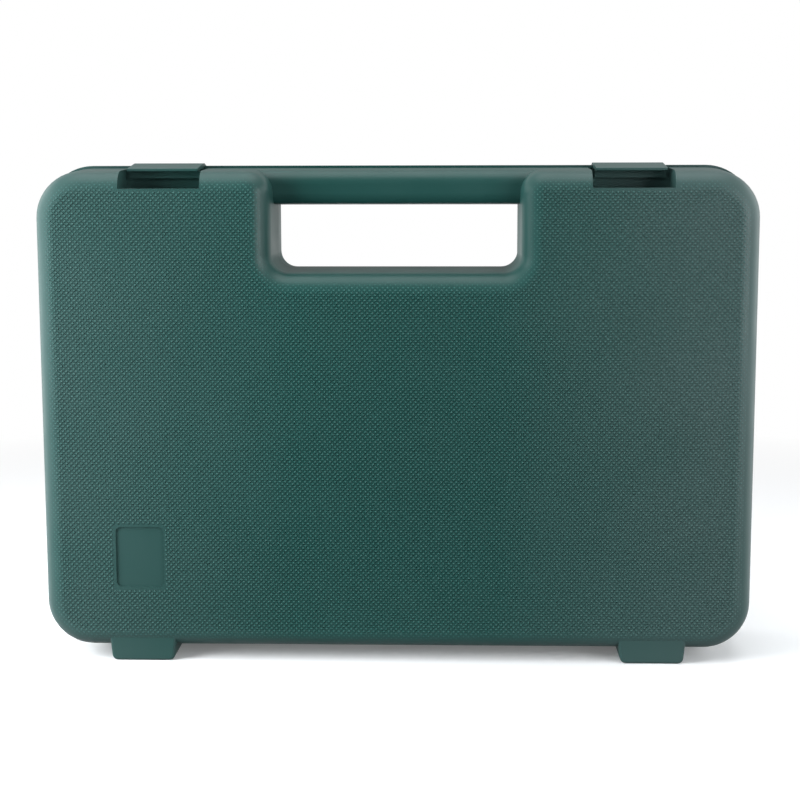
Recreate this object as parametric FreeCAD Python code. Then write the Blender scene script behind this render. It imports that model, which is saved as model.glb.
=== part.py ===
import FreeCAD, Part
import math
import os

# Socket wrench set in a hinged moulded case. Millimetres; X across the case, Y from the base
# half (minus) to the lid half (plus), Z up; the case stands on its hinge feet at Z = 0.

# Case halves
CASE_WIDTH = 292.4
BODY_HEIGHT = 197.4
HALF_DEPTH = 28.0
CORNER_RADIUS = 20.0
DRAFT_ANGLE = 2.5
FACE_FILLET = 8.0
RIM_WIDTH = 5.0
TRAY_FLOOR = 2.4
LID_RECESS = 25.0
RECESS_FILLET = 3.0
LID_RISE = 1.0
PARTING_GAP = 0.2
PANEL_WIDTH = 19.6
PANEL_HEIGHT = 25.0
PANEL_DEPTH = 0.7
PANEL_CORNER = 2.2
PANEL_X = -105.3
PANEL_Z = 44.2

# Handle bay and handle bar
BAY_WIDTH = 99.0
BAY_DROP = 40.9
BAY_CORNER_RADIUS = 6.0
SHOULDER_RADIUS = 10.0
HANDLE_HEIGHT = 15.0
HANDLE_HALF_DEPTH = 14.0
HANDLE_TOP_ROUND = 6.0
HANDLE_LOWER_ROUND = 4.5

# Hinge feet
FOOT_OFFSET = 105.0
FOOT_WIDTH = 28.4
FOOT_HEIGHT = 4.8
FOOT_TAPER = 1.4
FOOT_CORNER = 2.4
FOOT_SETBACK = 1.0
FOOT_EDGE = 1.2
KNUCKLE_RADIUS = 2.2
HINGE_PIN_DIAMETER = 2.4
LUG_WIDTH = 9.0
LUG_GAP = 0.4
PIN_RUNNING_GAP = 0.06
PIN_FIT_GAP = 0.02

# Latches
LATCH_OFFSET = 94.5
LATCH_WIDTH = 28.6
LATCH_PLATE = 2.4
LATCH_TIP = 1.2
LATCH_TIP_ROUND = 0.4
LATCH_PROUD = 2.0
LATCH_FALL = 2.0
LATCH_REACH = 17.0
LATCH_AXIS_INSET = 14.0
LATCH_AXIS_DEPTH = 4.4
LATCH_BARREL_RADIUS = 3.2
LATCH_PIN_DIAMETER = 2.4
LATCH_PIN_GRIP = 6.0
LATCH_GAP = 0.5
LATCH_SWING_GAP = 1.2
LATCH_BOSS_WALL = 9.0
HOOK_THICKNESS = 2.0
HOOK_DROP = 3.6
HOOK_PLAY = 1.0
CATCH_WALL = 8.0
NOTCH_WIDTH = 32.8
NOTCH_HEIGHT = 8.0

# Tools in the tray
DRIVE_SQUARE = 12.7
SQUARE_PLAY = 0.3
SQUARE_DEPTH = 15.0
TOOL_AXIS_DEPTH = 2.5
SEAT_GAP = 0.3
RAIL_THICKNESS = 5.0
PLUG_RAIL_THICKNESS = 3.4
RAIL_WALL = 4.0
RAIL_RECESS = 1.5
RAIL_END_GAP = 0.2
RAIL_ROUND = 1.0
SHAFT_RAIL_X = 34.0
GRIP_RAIL_INSET = 30.0
TOOL_CHAMFER = 1.0
SOCKET_LENGTH = 38.0
SOCKET_END_GAP = 5.0
SOCKET_HEX_DEPTH = 17.0
SMALL_SOCKETS = ((10, 22.0), (12, 22.0), (13, 22.0), (14, 22.0), (17, 24.5), (19, 26.5),
                 (22, 30.0), (24, 32.5), (27, 36.5))
LARGE_SOCKETS = ((30, 40.0, -1), (32, 43.0, 1))
LARGE_SOCKET_LENGTH = 42.0
HEX_PLAY = 0.2

EXTENSION_LONG = 125.0
EXTENSION_SHORT = 75.0
EXTENSION_HEAD_DIAMETER = 20.0
EXTENSION_HEAD_LENGTH = 24.0
EXTENSION_SHAFT_DIAMETER = 13.0
EXTENSION_COLLAR_DIAMETER = 17.0
EXTENSION_COLLAR_LENGTH = 6.0
MALE_SQUARE_LENGTH = 14.0
BALL_DIAMETER = 4.8
BALL_PROUD = 0.8
BALL_GAP = 0.05
PLUG_SOCKET_LENGTH = 65.0
PLUG_SOCKET_DIAMETER = 28.0
PLUG_HEX = 21.0
PLUG_HEX_DEPTH = 24.0
PLUG_BORE_DIAMETER = 22.6
PLUG_BORE_DEPTH = 22.0
INSERT_LENGTH = 14.0
INSERT_BORE = 12.0
BAR_GAP = 6.0

# Ratchet
RATCHET_LENGTH = 250.0
HEAD_RADIUS = 20.0
HEAD_THICKNESS = 18.0
HEAD_INSET = 8.0
HEAD_FILLET = 1.0
HEAD_END_GAP = 8.2
TAIL_REACH = 34.0
TAIL_RADIUS = 9.0
NECK_RADIUS = 8.0
NECK_LENGTH = 16.0
SHANK_RADIUS = 6.2
GRIP_LENGTH = 122.0
GRIP_RADIUS = 14.0
GRIP_WAIST = 11.5
GRIP_FLANGE = 10.0
GRIP_WAIST_X = 20.0
GRIP_SWELL_X = 40.0
GRIP_BARREL_X = 81.0
GRIP_END_TAPER = 5.0
GRIP_END_WALL = 8.0
GEAR_RADIUS = 13.5
GEAR_TEETH = 36
TOOTH_DEPTH = 1.1
GEAR_GAP = 0.3
GEAR_END_GAP = 0.1
GEAR_FLOOR = 3.0
HUB_RADIUS = 10.0
TOP_HUB_RADIUS = 7.0
COVER_THICKNESS = 2.5
COVER_RIM = 1.7
COVER_TAIL_X = 29.0
COVER_TAIL_RADIUS = 8.0
COVER_GAP = 0.05
SCREW_RADIUS = 1.2
SCREW_HEAD_RADIUS = 2.3
SCREW_HEAD_HEIGHT = 1.1
SCREW_LENGTH = 6.5
SCREW_CIRCLE = 16.0
SCREW_ANGLE = 120.0
TAIL_SCREW_X = 33.6
BUTTON_RADIUS = 4.1
BUTTON_PIN_RADIUS = 2.1
BUTTON_PROUD = 2.0
BUTTON_TRAVEL = 2.0
BUTTON_GAP = 0.1
PAWL_AXIS_X = 18.3
PAWL_HALF_WIDTH = 6.5
PAWL_GAP = 0.9
PAWL_BACK_X = 22.0
PAWL_PIN_RADIUS = 1.5
PAWL_TEETH = 3
PAWL_ROUND = 2.2
POCKET_END_X = 30.5
POCKET_HALF_WIDTH = 8.5
LEVER_AXIS_X = 26.6
LEVER_STEM_RADIUS = 3.0
LEVER_ARM = 11.0
LEVER_HUB_RADIUS = 4.5
LEVER_TIP_RADIUS = 2.8
LEVER_THICKNESS = 3.2
LEVER_LIFT = 0.2
PLUNGER_RADIUS = 1.2
PLUNGER_REACH = 4.2
PLUNGER_TAIL = 0.4
SPRING_WIRE = 0.4
CUT_OVERRUN = 1.0

# Places worked out from the driving dimensions
draft = math.tan(math.radians(DRAFT_ANGLE))
body_bottom = FOOT_HEIGHT
body_top = FOOT_HEIGHT + BODY_HEIGHT
lid_top = body_top + LID_RISE
hinge_z = KNUCKLE_RADIUS
plate_top = body_top + LATCH_PROUD
plate_under = plate_top - LATCH_PLATE
latch_axis_z = lid_top - LATCH_AXIS_DEPTH
notch_floor = body_top - NOTCH_HEIGHT
tool_y = -TOOL_AXIS_DEPTH
tray_y = TRAY_FLOOR - HALF_DEPTH
tray_half = CASE_WIDTH / 2 - RIM_WIDTH
tray_low = body_bottom + RIM_WIDTH
tray_high = notch_floor - RIM_WIDTH
large_diameter = max(diameter for size, diameter, side in LARGE_SOCKETS)
row_sizes = (SOCKET_LENGTH, 2 * HEAD_RADIUS, PLUG_SOCKET_DIAMETER, large_diameter)
row_gap = (tray_high - tray_low - sum(row_sizes)) / (len(row_sizes) + 1)
socket_foot_z = tray_low + row_gap
ratchet_z = socket_foot_z + SOCKET_LENGTH + row_gap + HEAD_RADIUS
bar_row_z = ratchet_z + HEAD_RADIUS + row_gap + PLUG_SOCKET_DIAMETER / 2
large_row_z = bar_row_z + PLUG_SOCKET_DIAMETER / 2 + row_gap + large_diameter / 2
large_socket_x = (CASE_WIDTH + BAY_WIDTH) / 4
head_y0 = -HEAD_INSET
head_y1 = HEAD_THICKNESS - HEAD_INSET
head_mid_y = (head_y0 + head_y1) / 2
head_x = HEAD_END_GAP + HEAD_RADIUS - tray_half
cover_y = head_y1 - COVER_THICKNESS
gear_y0 = head_y0 + GEAR_FLOOR + GEAR_END_GAP
gear_y1 = cover_y - GEAR_END_GAP
pocket_y0 = head_y0 + GEAR_FLOOR
square_end_y = head_y0 - MALE_SQUARE_LENGTH
button_y = head_y1 + BUTTON_PROUD
button_under = head_y1 - BUTTON_TRAVEL
grip_x1 = head_x - HEAD_RADIUS + RATCHET_LENGTH
grip_x0 = grip_x1 - GRIP_LENGTH

ACROSS = FreeCAD.Vector(1, 0, 0)
DEEP = FreeCAD.Vector(0, 1, 0)
UP = FreeCAD.Vector(0, 0, 1)


def point(x, y, z):
    return FreeCAD.Vector(x, y, z)


def box(x0, x1, y0, y1, z0, z1):
    """Box between two corners."""
    return Part.makeBox(x1 - x0, y1 - y0, z1 - z0, point(x0, y0, z0))


def rod(radius, start, length, direction):
    """Cylinder from a start point along a direction."""
    return Part.makeCylinder(radius, length, start, direction)


def cone(radius0, radius1, start, length, direction):
    """Cone frustum from a start point along a direction."""
    return Part.makeCone(radius0, radius1, length, start, direction)


def rounded_wire(corners, place):
    """Closed wire through corners (u, v, radius), each corner turned by a tangent arc."""
    count = len(corners)
    arcs = []
    for i in range(count):
        u, v, radius = corners[i]
        here = place(u, v)
        before = place(*corners[i - 1][:2]) - here
        after = place(*corners[(i + 1) % count][:2]) - here
        before.normalize()
        after.normalize()
        if radius <= 0:
            arcs.append((here, None, here))
            continue
        half_angle = before.getAngle(after) / 2
        middle = before + after
        middle.normalize()
        run = radius / math.tan(half_angle)
        reach = radius / math.sin(half_angle) - radius
        arcs.append((here + before * run, here + middle * reach, here + after * run))
    edges = []
    for i in range(count):
        start, middle, end = arcs[i]
        if middle is not None:
            edges.append(Part.Arc(start, middle, end).toShape())
        following = arcs[(i + 1) % count][0]
        if end.distanceToPoint(following) > 1e-6:
            edges.append(Part.LineSegment(end, following).toShape())
    return Part.Wire(edges)


def prism(corners, place, along):
    """Solid from a rounded outline carried along a vector."""
    return Part.Face(rounded_wire(corners, place)).extrude(along)


def facing(y):
    """Places outline points (x, z) in the plane at y."""
    return lambda u, v: point(u, y, v)


def sideways(x):
    """Places outline points (y, z) in the plane at x."""
    return lambda u, v: point(x, u, v)


def level(z):
    """Places outline points (x, y) in the plane at z."""
    return lambda u, v: point(u, v, z)


def joined(first, *others):
    """Union with the seams between flush faces removed."""
    return first.fuse(list(others)).removeSplitter()


def save(name, shape):
    """Writes one piece as STEP; a piece is one solid or a group of separate solids."""
    solids = shape.Solids
    if not solids or not shape.isValid():
        raise ValueError(name + " is not a sound solid")
    volume = sum(solid.Volume for solid in solids)
    print(name, len(solids), "solid", round(volume / 1000, 2), "cm3")
    whole = solids[0] if len(solids) == 1 else Part.makeCompound(solids)
    whole.exportStep("parts/" + name + ".step")


# Case halves

def case_outline(inset, rise):
    """Corners of the case outline with its handle bay, drawn in by inset; rise lifts the top."""
    half = CASE_WIDTH / 2 - inset
    low = body_bottom + inset
    top = body_top + rise - inset
    ledge = body_top - BAY_DROP - inset
    bay = BAY_WIDTH / 2 + inset
    outer = CORNER_RADIUS - inset
    shoulder = SHOULDER_RADIUS - inset
    hollow = BAY_CORNER_RADIUS + inset
    return ((-half, low, outer), (-half, top, outer), (-bay, top, shoulder), (-bay, ledge, hollow),
            (bay, ledge, hollow), (bay, top, shoulder), (half, top, outer), (half, low, outer))


def half_body(side, start, rise):
    """Drafted half of the case from the parting plane to its rounded outer face."""
    depth = HALF_DEPTH - start
    face_y = side * HALF_DEPTH
    wires = [rounded_wire(case_outline(0, rise), facing(side * start)),
             rounded_wire(case_outline(depth * draft, rise), facing(face_y))]
    body = Part.makeLoft(wires, True, True)
    rim = [edge for edge in body.Edges if all(abs(v.Y - face_y) < 1e-6 for v in edge.Vertexes)]
    return body.makeFillet(FACE_FILLET, rim)


def half_handle(side, start, rise):
    """Half of the handle bar between the two shoulders, rounded on its outer edges."""
    top = body_top + rise
    outer = side * HANDLE_HALF_DEPTH
    low = top - HANDLE_HEIGHT
    slope = (HANDLE_HALF_DEPTH - start) * draft
    corners = ((side * start, low, 0), (outer, low + slope, HANDLE_LOWER_ROUND),
               (outer, top - slope, HANDLE_TOP_ROUND), (side * start, top, 0))
    reach = BAY_WIDTH / 2 + SHOULDER_RADIUS
    return prism(corners, sideways(-reach), ACROSS * (2 * reach))


def foot_block(width, y0, y1, front_edge):
    """Tapered block with rounded lower corners, centred on X = 0, that a case half stands on."""
    half = width / 2
    top = body_bottom + FACE_FILLET
    corners = ((-half, top, 0), (-half + FOOT_TAPER, 0, FOOT_CORNER),
               (half - FOOT_TAPER, 0, FOOT_CORNER), (half, top, 0))
    block = prism(corners, facing(y0), DEEP * (y1 - y0))
    front = [edge for edge in block.Edges if all(abs(v.Y - front_edge) < 1e-6 for v in edge.Vertexes)]
    return block.makeFillet(FOOT_EDGE, [e for e in front if e.BoundBox.ZMin < top - 1e-6])


def hinge_sides():
    return (-FOOT_OFFSET, FOOT_OFFSET)


def latch_sides():
    return (-LATCH_OFFSET, LATCH_OFFSET)


def lug_places(foot_x):
    """Lower X end of the two lid lugs beside one base foot."""
    reach = FOOT_WIDTH / 2 + LUG_GAP
    return (foot_x - reach - LUG_WIDTH, foot_x + reach)


def base_shell():
    """Base half: moulded shell with tool pockets, latch notches, feet and hinge knuckles."""
    shell = joined(half_body(-1, 0, 0), half_handle(-1, 0, 0))
    feet = []
    for x in hinge_sides():
        foot = foot_block(FOOT_WIDTH, FOOT_SETBACK - HALF_DEPTH, 0, FOOT_SETBACK - HALF_DEPTH)
        half = FOOT_WIDTH / 2 - FOOT_TAPER
        knuckle = rod(KNUCKLE_RADIUS, point(-half, 0, hinge_z), 2 * half, ACROSS)
        foot = foot.common(box(-FOOT_WIDTH, FOOT_WIDTH, -HALF_DEPTH, 0, 0, body_top))
        feet.append(foot.fuse(knuckle).translated(point(x, 0, 0)))
    shell = joined(shell, *feet)
    recess = half_recess(-1, HALF_DEPTH - TRAY_FLOOR, 0)
    bore = HINGE_PIN_DIAMETER / 2 + PIN_RUNNING_GAP
    cuts = [bare_panel()]
    for x in hinge_sides():
        cuts.append(rod(bore, point(x - FOOT_WIDTH / 2, 0, hinge_z), FOOT_WIDTH, ACROSS))
    for x in latch_sides():
        half = NOTCH_WIDTH / 2
        front = -HALF_DEPTH - CUT_OVERRUN
        cuts.append(box(x - half, x + half, front, -CATCH_WALL, notch_floor, lid_top))
        cuts.append(box(x - half, x + half, -CATCH_WALL, CUT_OVERRUN, plate_under - LATCH_GAP, lid_top))
        wall = half + RIM_WIDTH
        recess = recess.cut(box(x - wall, x + wall, front, CUT_OVERRUN, tray_high, lid_top))
    return shell.cut(cuts + [recess]).removeSplitter()


def bare_panel():
    """Shallow blank recess near the lower left corner of the base face."""
    half_w = PANEL_WIDTH / 2
    half_h = PANEL_HEIGHT / 2
    corners = ((PANEL_X - half_w, PANEL_Z - half_h, PANEL_CORNER),
               (PANEL_X - half_w, PANEL_Z + half_h, PANEL_CORNER),
               (PANEL_X + half_w, PANEL_Z + half_h, PANEL_CORNER),
               (PANEL_X + half_w, PANEL_Z - half_h, PANEL_CORNER))
    return prism(corners, facing(-HALF_DEPTH - CUT_OVERRUN), DEEP * (PANEL_DEPTH + CUT_OVERRUN))


def half_recess(side, depth, rise):
    """Hollow of a case half inside its rim, from the parting plane to a floor with rounded edges."""
    floor_y = side * depth
    mouth_y = -side * CUT_OVERRUN
    hollow = prism(case_outline(RIM_WIDTH, rise), facing(mouth_y), DEEP * (floor_y - mouth_y))
    floor = [e for e in hollow.Edges if all(abs(v.Y - floor_y) < 1e-6 for v in e.Vertexes)]
    return hollow.makeFillet(RECESS_FILLET, floor)


def lid_shell():
    """Lid half: moulded shell with one deep recess, latch pockets and hinge lugs."""
    shell = joined(half_body(1, PARTING_GAP, LID_RISE), half_handle(1, PARTING_GAP, LID_RISE))
    lugs = []
    lug_end = HALF_DEPTH - FOOT_SETBACK
    for foot_x in hinge_sides():
        for x in lug_places(foot_x):
            block = box(x, x + LUG_WIDTH, 0, lug_end, 0, body_bottom + FACE_FILLET)
            ends = [e for e in block.Edges if all(abs(v.Y - lug_end) < 1e-6 for v in e.Vertexes)]
            block = block.makeFillet(FOOT_EDGE, [e for e in ends if e.BoundBox.ZMax < body_bottom])
            clear = box(x, x + LUG_WIDTH, 0, PARTING_GAP, body_bottom - PARTING_GAP, lid_top)
            knuckle = rod(KNUCKLE_RADIUS, point(x, 0, hinge_z), LUG_WIDTH, ACROSS)
            lugs.append(block.cut(clear).fuse(knuckle))
    shell = joined(shell, *lugs)
    recess = half_recess(1, LID_RECESS, LID_RISE)
    boss_half = LATCH_WIDTH / 2 + LATCH_GAP + LATCH_BOSS_WALL
    pocket_low = latch_axis_z - LATCH_BARREL_RADIUS - LATCH_GAP
    pocket_end = LATCH_AXIS_INSET + LATCH_BARREL_RADIUS + LATCH_SWING_GAP
    cuts = []
    for x in latch_sides():
        boss_low = pocket_low - RIM_WIDTH
        recess = recess.cut(box(x - boss_half, x + boss_half, -CUT_OVERRUN, HALF_DEPTH, boss_low, lid_top))
        half = LATCH_WIDTH / 2 + LATCH_GAP
        cuts.append(box(x - half, x + half, -CUT_OVERRUN, pocket_end, pocket_low, lid_top + CUT_OVERRUN))
        grip = LATCH_WIDTH / 2 + LATCH_PIN_GRIP + PIN_FIT_GAP
        axis = point(x - grip, LATCH_AXIS_INSET, latch_axis_z)
        cuts.append(rod(LATCH_PIN_DIAMETER / 2 + PIN_FIT_GAP, axis, 2 * grip, ACROSS))
    cuts.append(recess)
    for foot_x in hinge_sides():
        low = lug_places(foot_x)[0]
        length = FOOT_WIDTH + 2 * (LUG_GAP + LUG_WIDTH)
        cuts.append(rod(HINGE_PIN_DIAMETER / 2 + PIN_FIT_GAP, point(low, 0, hinge_z), length, ACROSS))
    return shell.cut(cuts).removeSplitter()


def hinge_pin(foot_x):
    """Straight pin through a base foot and the lid lugs beside it."""
    low = lug_places(foot_x)[0]
    length = FOOT_WIDTH + 2 * (LUG_GAP + LUG_WIDTH)
    return rod(HINGE_PIN_DIAMETER / 2, point(low, 0, hinge_z), length, ACROSS)


def latch(x):
    """Snap latch: barrel on the lid, sloping plate over the parting line, hook rib under it."""
    half = LATCH_WIDTH / 2
    hook_y = -CATCH_WALL - HOOK_PLAY
    tip_top = plate_top - LATCH_FALL
    barrel_top = latch_axis_z + LATCH_BARREL_RADIUS
    corners = ((LATCH_AXIS_INSET, barrel_top, 0), (LATCH_BARREL_RADIUS, plate_top, LATCH_PLATE),
               (0, plate_top, 0), (-LATCH_REACH, tip_top, LATCH_TIP_ROUND),
               (-LATCH_REACH, tip_top - LATCH_TIP, LATCH_TIP_ROUND),
               (hook_y - HOOK_THICKNESS, tip_top - LATCH_TIP, 0),
               (hook_y - HOOK_THICKNESS, plate_under - HOOK_DROP, 0),
               (hook_y, plate_under - HOOK_DROP, 0), (hook_y, plate_under, 0),
               (LATCH_AXIS_INSET, plate_under, 0))
    plate = prism(corners, sideways(x - half), ACROSS * LATCH_WIDTH)
    axis = point(x - half, LATCH_AXIS_INSET, latch_axis_z)
    body = joined(plate, rod(LATCH_BARREL_RADIUS, axis, LATCH_WIDTH, ACROSS))
    return body.cut(rod(LATCH_PIN_DIAMETER / 2 + PIN_RUNNING_GAP, axis, LATCH_WIDTH, ACROSS))


def latch_pin(x):
    """Pin that carries a latch in the lid."""
    grip = LATCH_WIDTH / 2 + LATCH_PIN_GRIP
    return rod(LATCH_PIN_DIAMETER / 2, point(x - grip, LATCH_AXIS_INSET, latch_axis_z), 2 * grip, ACROSS)


# Sockets and bars

def turned(stations, start, along):
    """Solid of revolution through stations (distance along the axis, radius)."""
    rim = [start + along * d + DEEP * r for d, r in stations]
    loop = [start + along * stations[0][0]] + rim + [start + along * stations[-1][0]]
    edges = [Part.LineSegment(a, b).toShape() for a, b in zip(loop, loop[1:] + loop[:1])]
    return Part.Face(Part.Wire(edges)).revolve(start, along, 360)


def regular_prism(sides, across_flats, start, length, along):
    """Prism with a regular polygon section, sized across its flats."""
    radius = across_flats / 2 / math.cos(math.pi / sides)
    first = DEEP
    second = along.cross(first)
    ring = []
    for i in range(sides):
        angle = math.pi / sides + 2 * math.pi * i / sides
        ring.append(start + first * (radius * math.cos(angle)) + second * (radius * math.sin(angle)))
    return Part.Face(Part.makePolygon(ring + ring[:1])).extrude(along * length)


def female_square(start, along):
    """Square drive hole, sunk from the start point along a direction."""
    return regular_prism(4, DRIVE_SQUARE + SQUARE_PLAY, start, SQUARE_DEPTH, along)


def socket(size, diameter, length, start, along):
    """Six-point socket: square drive hole at the start, hexagon at the far end, bored between."""
    radius = diameter / 2
    blank = turned(((0, radius - TOOL_CHAMFER), (TOOL_CHAMFER, radius),
                    (length - TOOL_CHAMFER, radius), (length, radius - TOOL_CHAMFER)), start, along)
    far = start + along * length
    hexagon = regular_prism(6, size + HEX_PLAY, far, SOCKET_HEX_DEPTH, -along)
    bore = min(size, DRIVE_SQUARE) / 2 - TOOL_CHAMFER / 2
    middle = rod(bore, start, length, along)
    return blank.cut([female_square(start, along), hexagon, middle])


def ball_seat(centre, out):
    """Ball and the drilled seat for it, in the face of a drive square centred on a point."""
    radius = BALL_DIAMETER / 2
    out_reach = DRIVE_SQUARE / 2 + BALL_PROUD - radius
    place = centre + out * out_reach
    seat_floor = centre + out * (out_reach - radius - BALL_GAP)
    seat = rod(radius + BALL_GAP, seat_floor, DRIVE_SQUARE, out)
    return Part.makeSphere(radius, place), seat


def extension(length, start):
    """Extension bar along X and its ball: female end at the start, male square at the far end."""
    shaft = EXTENSION_SHAFT_DIAMETER / 2
    head = EXTENSION_HEAD_DIAMETER / 2
    collar = EXTENSION_COLLAR_DIAMETER / 2
    square_at = length - MALE_SQUARE_LENGTH
    collar_at = square_at - EXTENSION_COLLAR_LENGTH
    bar = turned(((0, head - TOOL_CHAMFER), (TOOL_CHAMFER, head),
                  (EXTENSION_HEAD_LENGTH - head + shaft, head), (EXTENSION_HEAD_LENGTH, shaft),
                  (collar_at - collar + shaft, shaft), (collar_at, collar),
                  (square_at - TOOL_CHAMFER, collar), (square_at, collar - TOOL_CHAMFER)), start, ACROSS)
    square_start = start + ACROSS * (square_at - TOOL_CHAMFER)
    square = regular_prism(4, DRIVE_SQUARE, square_start, MALE_SQUARE_LENGTH + TOOL_CHAMFER, ACROSS)
    ball, seat = ball_seat(start + ACROSS * (square_at + MALE_SQUARE_LENGTH / 2), UP)
    return joined(bar, square).cut([female_square(start, ACROSS), seat]), ball


def plug_socket(start):
    """Long spark plug socket along X with its rubber insert behind the hexagon."""
    blank_radius = PLUG_SOCKET_DIAMETER / 2
    blank = turned(((0, blank_radius - TOOL_CHAMFER), (TOOL_CHAMFER, blank_radius),
                    (PLUG_SOCKET_LENGTH - TOOL_CHAMFER, blank_radius),
                    (PLUG_SOCKET_LENGTH, blank_radius - TOOL_CHAMFER)), start, ACROSS)
    far = start + ACROSS * PLUG_SOCKET_LENGTH
    hexagon = regular_prism(6, PLUG_HEX + HEX_PLAY, far, PLUG_HEX_DEPTH, -ACROSS)
    bore_start = far - ACROSS * (PLUG_HEX_DEPTH + PLUG_BORE_DEPTH)
    bore = rod(PLUG_BORE_DIAMETER / 2, bore_start, PLUG_BORE_DEPTH, ACROSS)
    through = rod(INSERT_BORE / 2, start, PLUG_SOCKET_LENGTH, ACROSS)
    insert = rod(PLUG_BORE_DIAMETER / 2 - PIN_FIT_GAP, bore_start, INSERT_LENGTH, ACROSS)
    insert = insert.cut(rod(INSERT_BORE / 2, bore_start, INSERT_LENGTH, ACROSS))
    return blank.cut([female_square(start, ACROSS), hexagon, bore, through]), insert


def socket_places():
    """Name, size, diameter, length, start point and direction of each socket in the tray."""
    widths = [diameter for size, diameter in SMALL_SOCKETS]
    run = SOCKET_END_GAP - tray_half
    gap = -(2 * run + sum(widths)) / (len(widths) - 1)
    places = []
    for size, diameter in SMALL_SOCKETS:
        start = point(run + diameter / 2, tool_y, socket_foot_z)
        places.append((size, diameter, SOCKET_LENGTH, start, UP))
        run += diameter + gap
    for size, diameter, side in LARGE_SOCKETS:
        start = point(side * large_socket_x - LARGE_SOCKET_LENGTH / 2, tool_y, large_row_z)
        places.append((size, diameter, LARGE_SOCKET_LENGTH, start, ACROSS))
    return places


def bar_row():
    """Start points of the long bar, the spark plug socket and the short bar in their row."""
    whole = EXTENSION_LONG + PLUG_SOCKET_LENGTH + EXTENSION_SHORT + 2 * BAR_GAP
    long_x = -whole / 2
    plug_x = long_x + EXTENSION_LONG + BAR_GAP
    short_x = plug_x + PLUG_SOCKET_LENGTH + BAR_GAP
    return [point(x, tool_y, bar_row_z) for x in (long_x, plug_x, short_x)]


# Rails that carry the tools

def seat(radius, start, length, along):
    """Room for a round tool in a rail: half round below its axis, straight up to the open side."""
    reach = radius + SEAT_GAP
    side = along.cross(DEEP)
    corner = start - side * reach
    wall = DEEP * HALF_DEPTH
    across = side * (2 * reach)
    mouth = Part.makePolygon([corner, corner + across, corner + across + wall, corner + wall, corner])
    return rod(reach, start, length, along).fuse(Part.Face(mouth).extrude(along * length))


def cross_rail(x, thickness, half_width, z):
    """Rail across the tools that lie along X, standing on the tray floor with rounded shoulders."""
    top = -RAIL_RECESS
    corners = ((tray_y, z - half_width, 0), (top, z - half_width, RAIL_ROUND),
               (top, z + half_width, RAIL_ROUND), (tray_y, z + half_width, 0))
    return prism(corners, sideways(x - thickness / 2), ACROSS * thickness)


def seated_rail(x, thickness, radius, start):
    """Cross rail with a seat for one tool of a given radius, whose axis starts at a point."""
    rail = cross_rail(x, thickness, radius + SEAT_GAP + RAIL_WALL, start.z)
    return rail.cut(seat(radius, point(x - thickness, start.y, start.z), 2 * thickness, ACROSS))


def socket_rail_at(length):
    """Middle of the plain waist of a socket, between its square hole and its hexagon."""
    return (SQUARE_DEPTH + length - SOCKET_HEX_DEPTH) / 2


def socket_rail():
    """Long rail over the whole tray that holds the row of small sockets by their waists."""
    half = tray_half - RAIL_END_GAP
    middle = socket_foot_z + socket_rail_at(SOCKET_LENGTH)
    corners = ((-half, tray_y, RECESS_FILLET), (half, tray_y, RECESS_FILLET),
               (half, -RAIL_RECESS, RAIL_ROUND), (-half, -RAIL_RECESS, RAIL_ROUND))
    rail = prism(corners, level(middle - RAIL_THICKNESS / 2), UP * RAIL_THICKNESS)
    seats = [seat(diameter / 2, start, length, along)
             for size, diameter, length, start, along in socket_places() if along == UP]
    return rail.cut(seats)


def large_socket_rails():
    """Two rails in the shoulders, one for each large socket."""
    rails = []
    for size, diameter, length, start, along in socket_places():
        if along == ACROSS:
            rails.append(seated_rail(start.x + socket_rail_at(length), RAIL_THICKNESS, diameter / 2, start))
    return Part.makeCompound(rails)


def bar_rails():
    """Rails for the bars, at the shaft and at the collar, and one for the spark plug socket."""
    long_start, plug_start, short_start = bar_row()
    rails = []
    for start, length in ((long_start, EXTENSION_LONG), (short_start, EXTENSION_SHORT)):
        shaft_x = start.x + SHAFT_RAIL_X
        rails.append(seated_rail(shaft_x, RAIL_THICKNESS, EXTENSION_SHAFT_DIAMETER / 2, start))
        collar_x = start.x + length - MALE_SQUARE_LENGTH - EXTENSION_COLLAR_LENGTH + RAIL_THICKNESS / 2
        rails.append(seated_rail(collar_x, RAIL_THICKNESS, EXTENSION_COLLAR_DIAMETER / 2, start))
    insert_at = PLUG_SOCKET_LENGTH - PLUG_HEX_DEPTH - PLUG_BORE_DEPTH
    plug_x = plug_start.x + (SQUARE_DEPTH + insert_at) / 2
    rails.append(seated_rail(plug_x, PLUG_RAIL_THICKNESS, PLUG_SOCKET_DIAMETER / 2, plug_start))
    return Part.makeCompound(rails)


def ratchet_rails():
    """Rails for the ratchet: one at its neck and two along its grip."""
    axis = point(head_x, head_mid_y, ratchet_z)
    neck_x = head_x + TAIL_REACH + TAIL_RADIUS + SEAT_GAP + RAIL_THICKNESS / 2
    rails = [seated_rail(neck_x, RAIL_THICKNESS, NECK_RADIUS, axis)]
    for x in (grip_x0 + GRIP_RAIL_INSET, grip_x1 - GRIP_RAIL_INSET):
        rails.append(seated_rail(x, RAIL_THICKNESS, GRIP_RADIUS, axis))
    return Part.makeCompound(rails)


# Ratchet

def hull_corners(radius0, reach, radius1):
    """Tangent points of the outline round a large circle and a smaller one at reach along X."""
    sine = (radius0 - radius1) / reach
    cosine = math.sqrt(1 - sine * sine)
    return radius0, reach, radius1, sine, cosine


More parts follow.
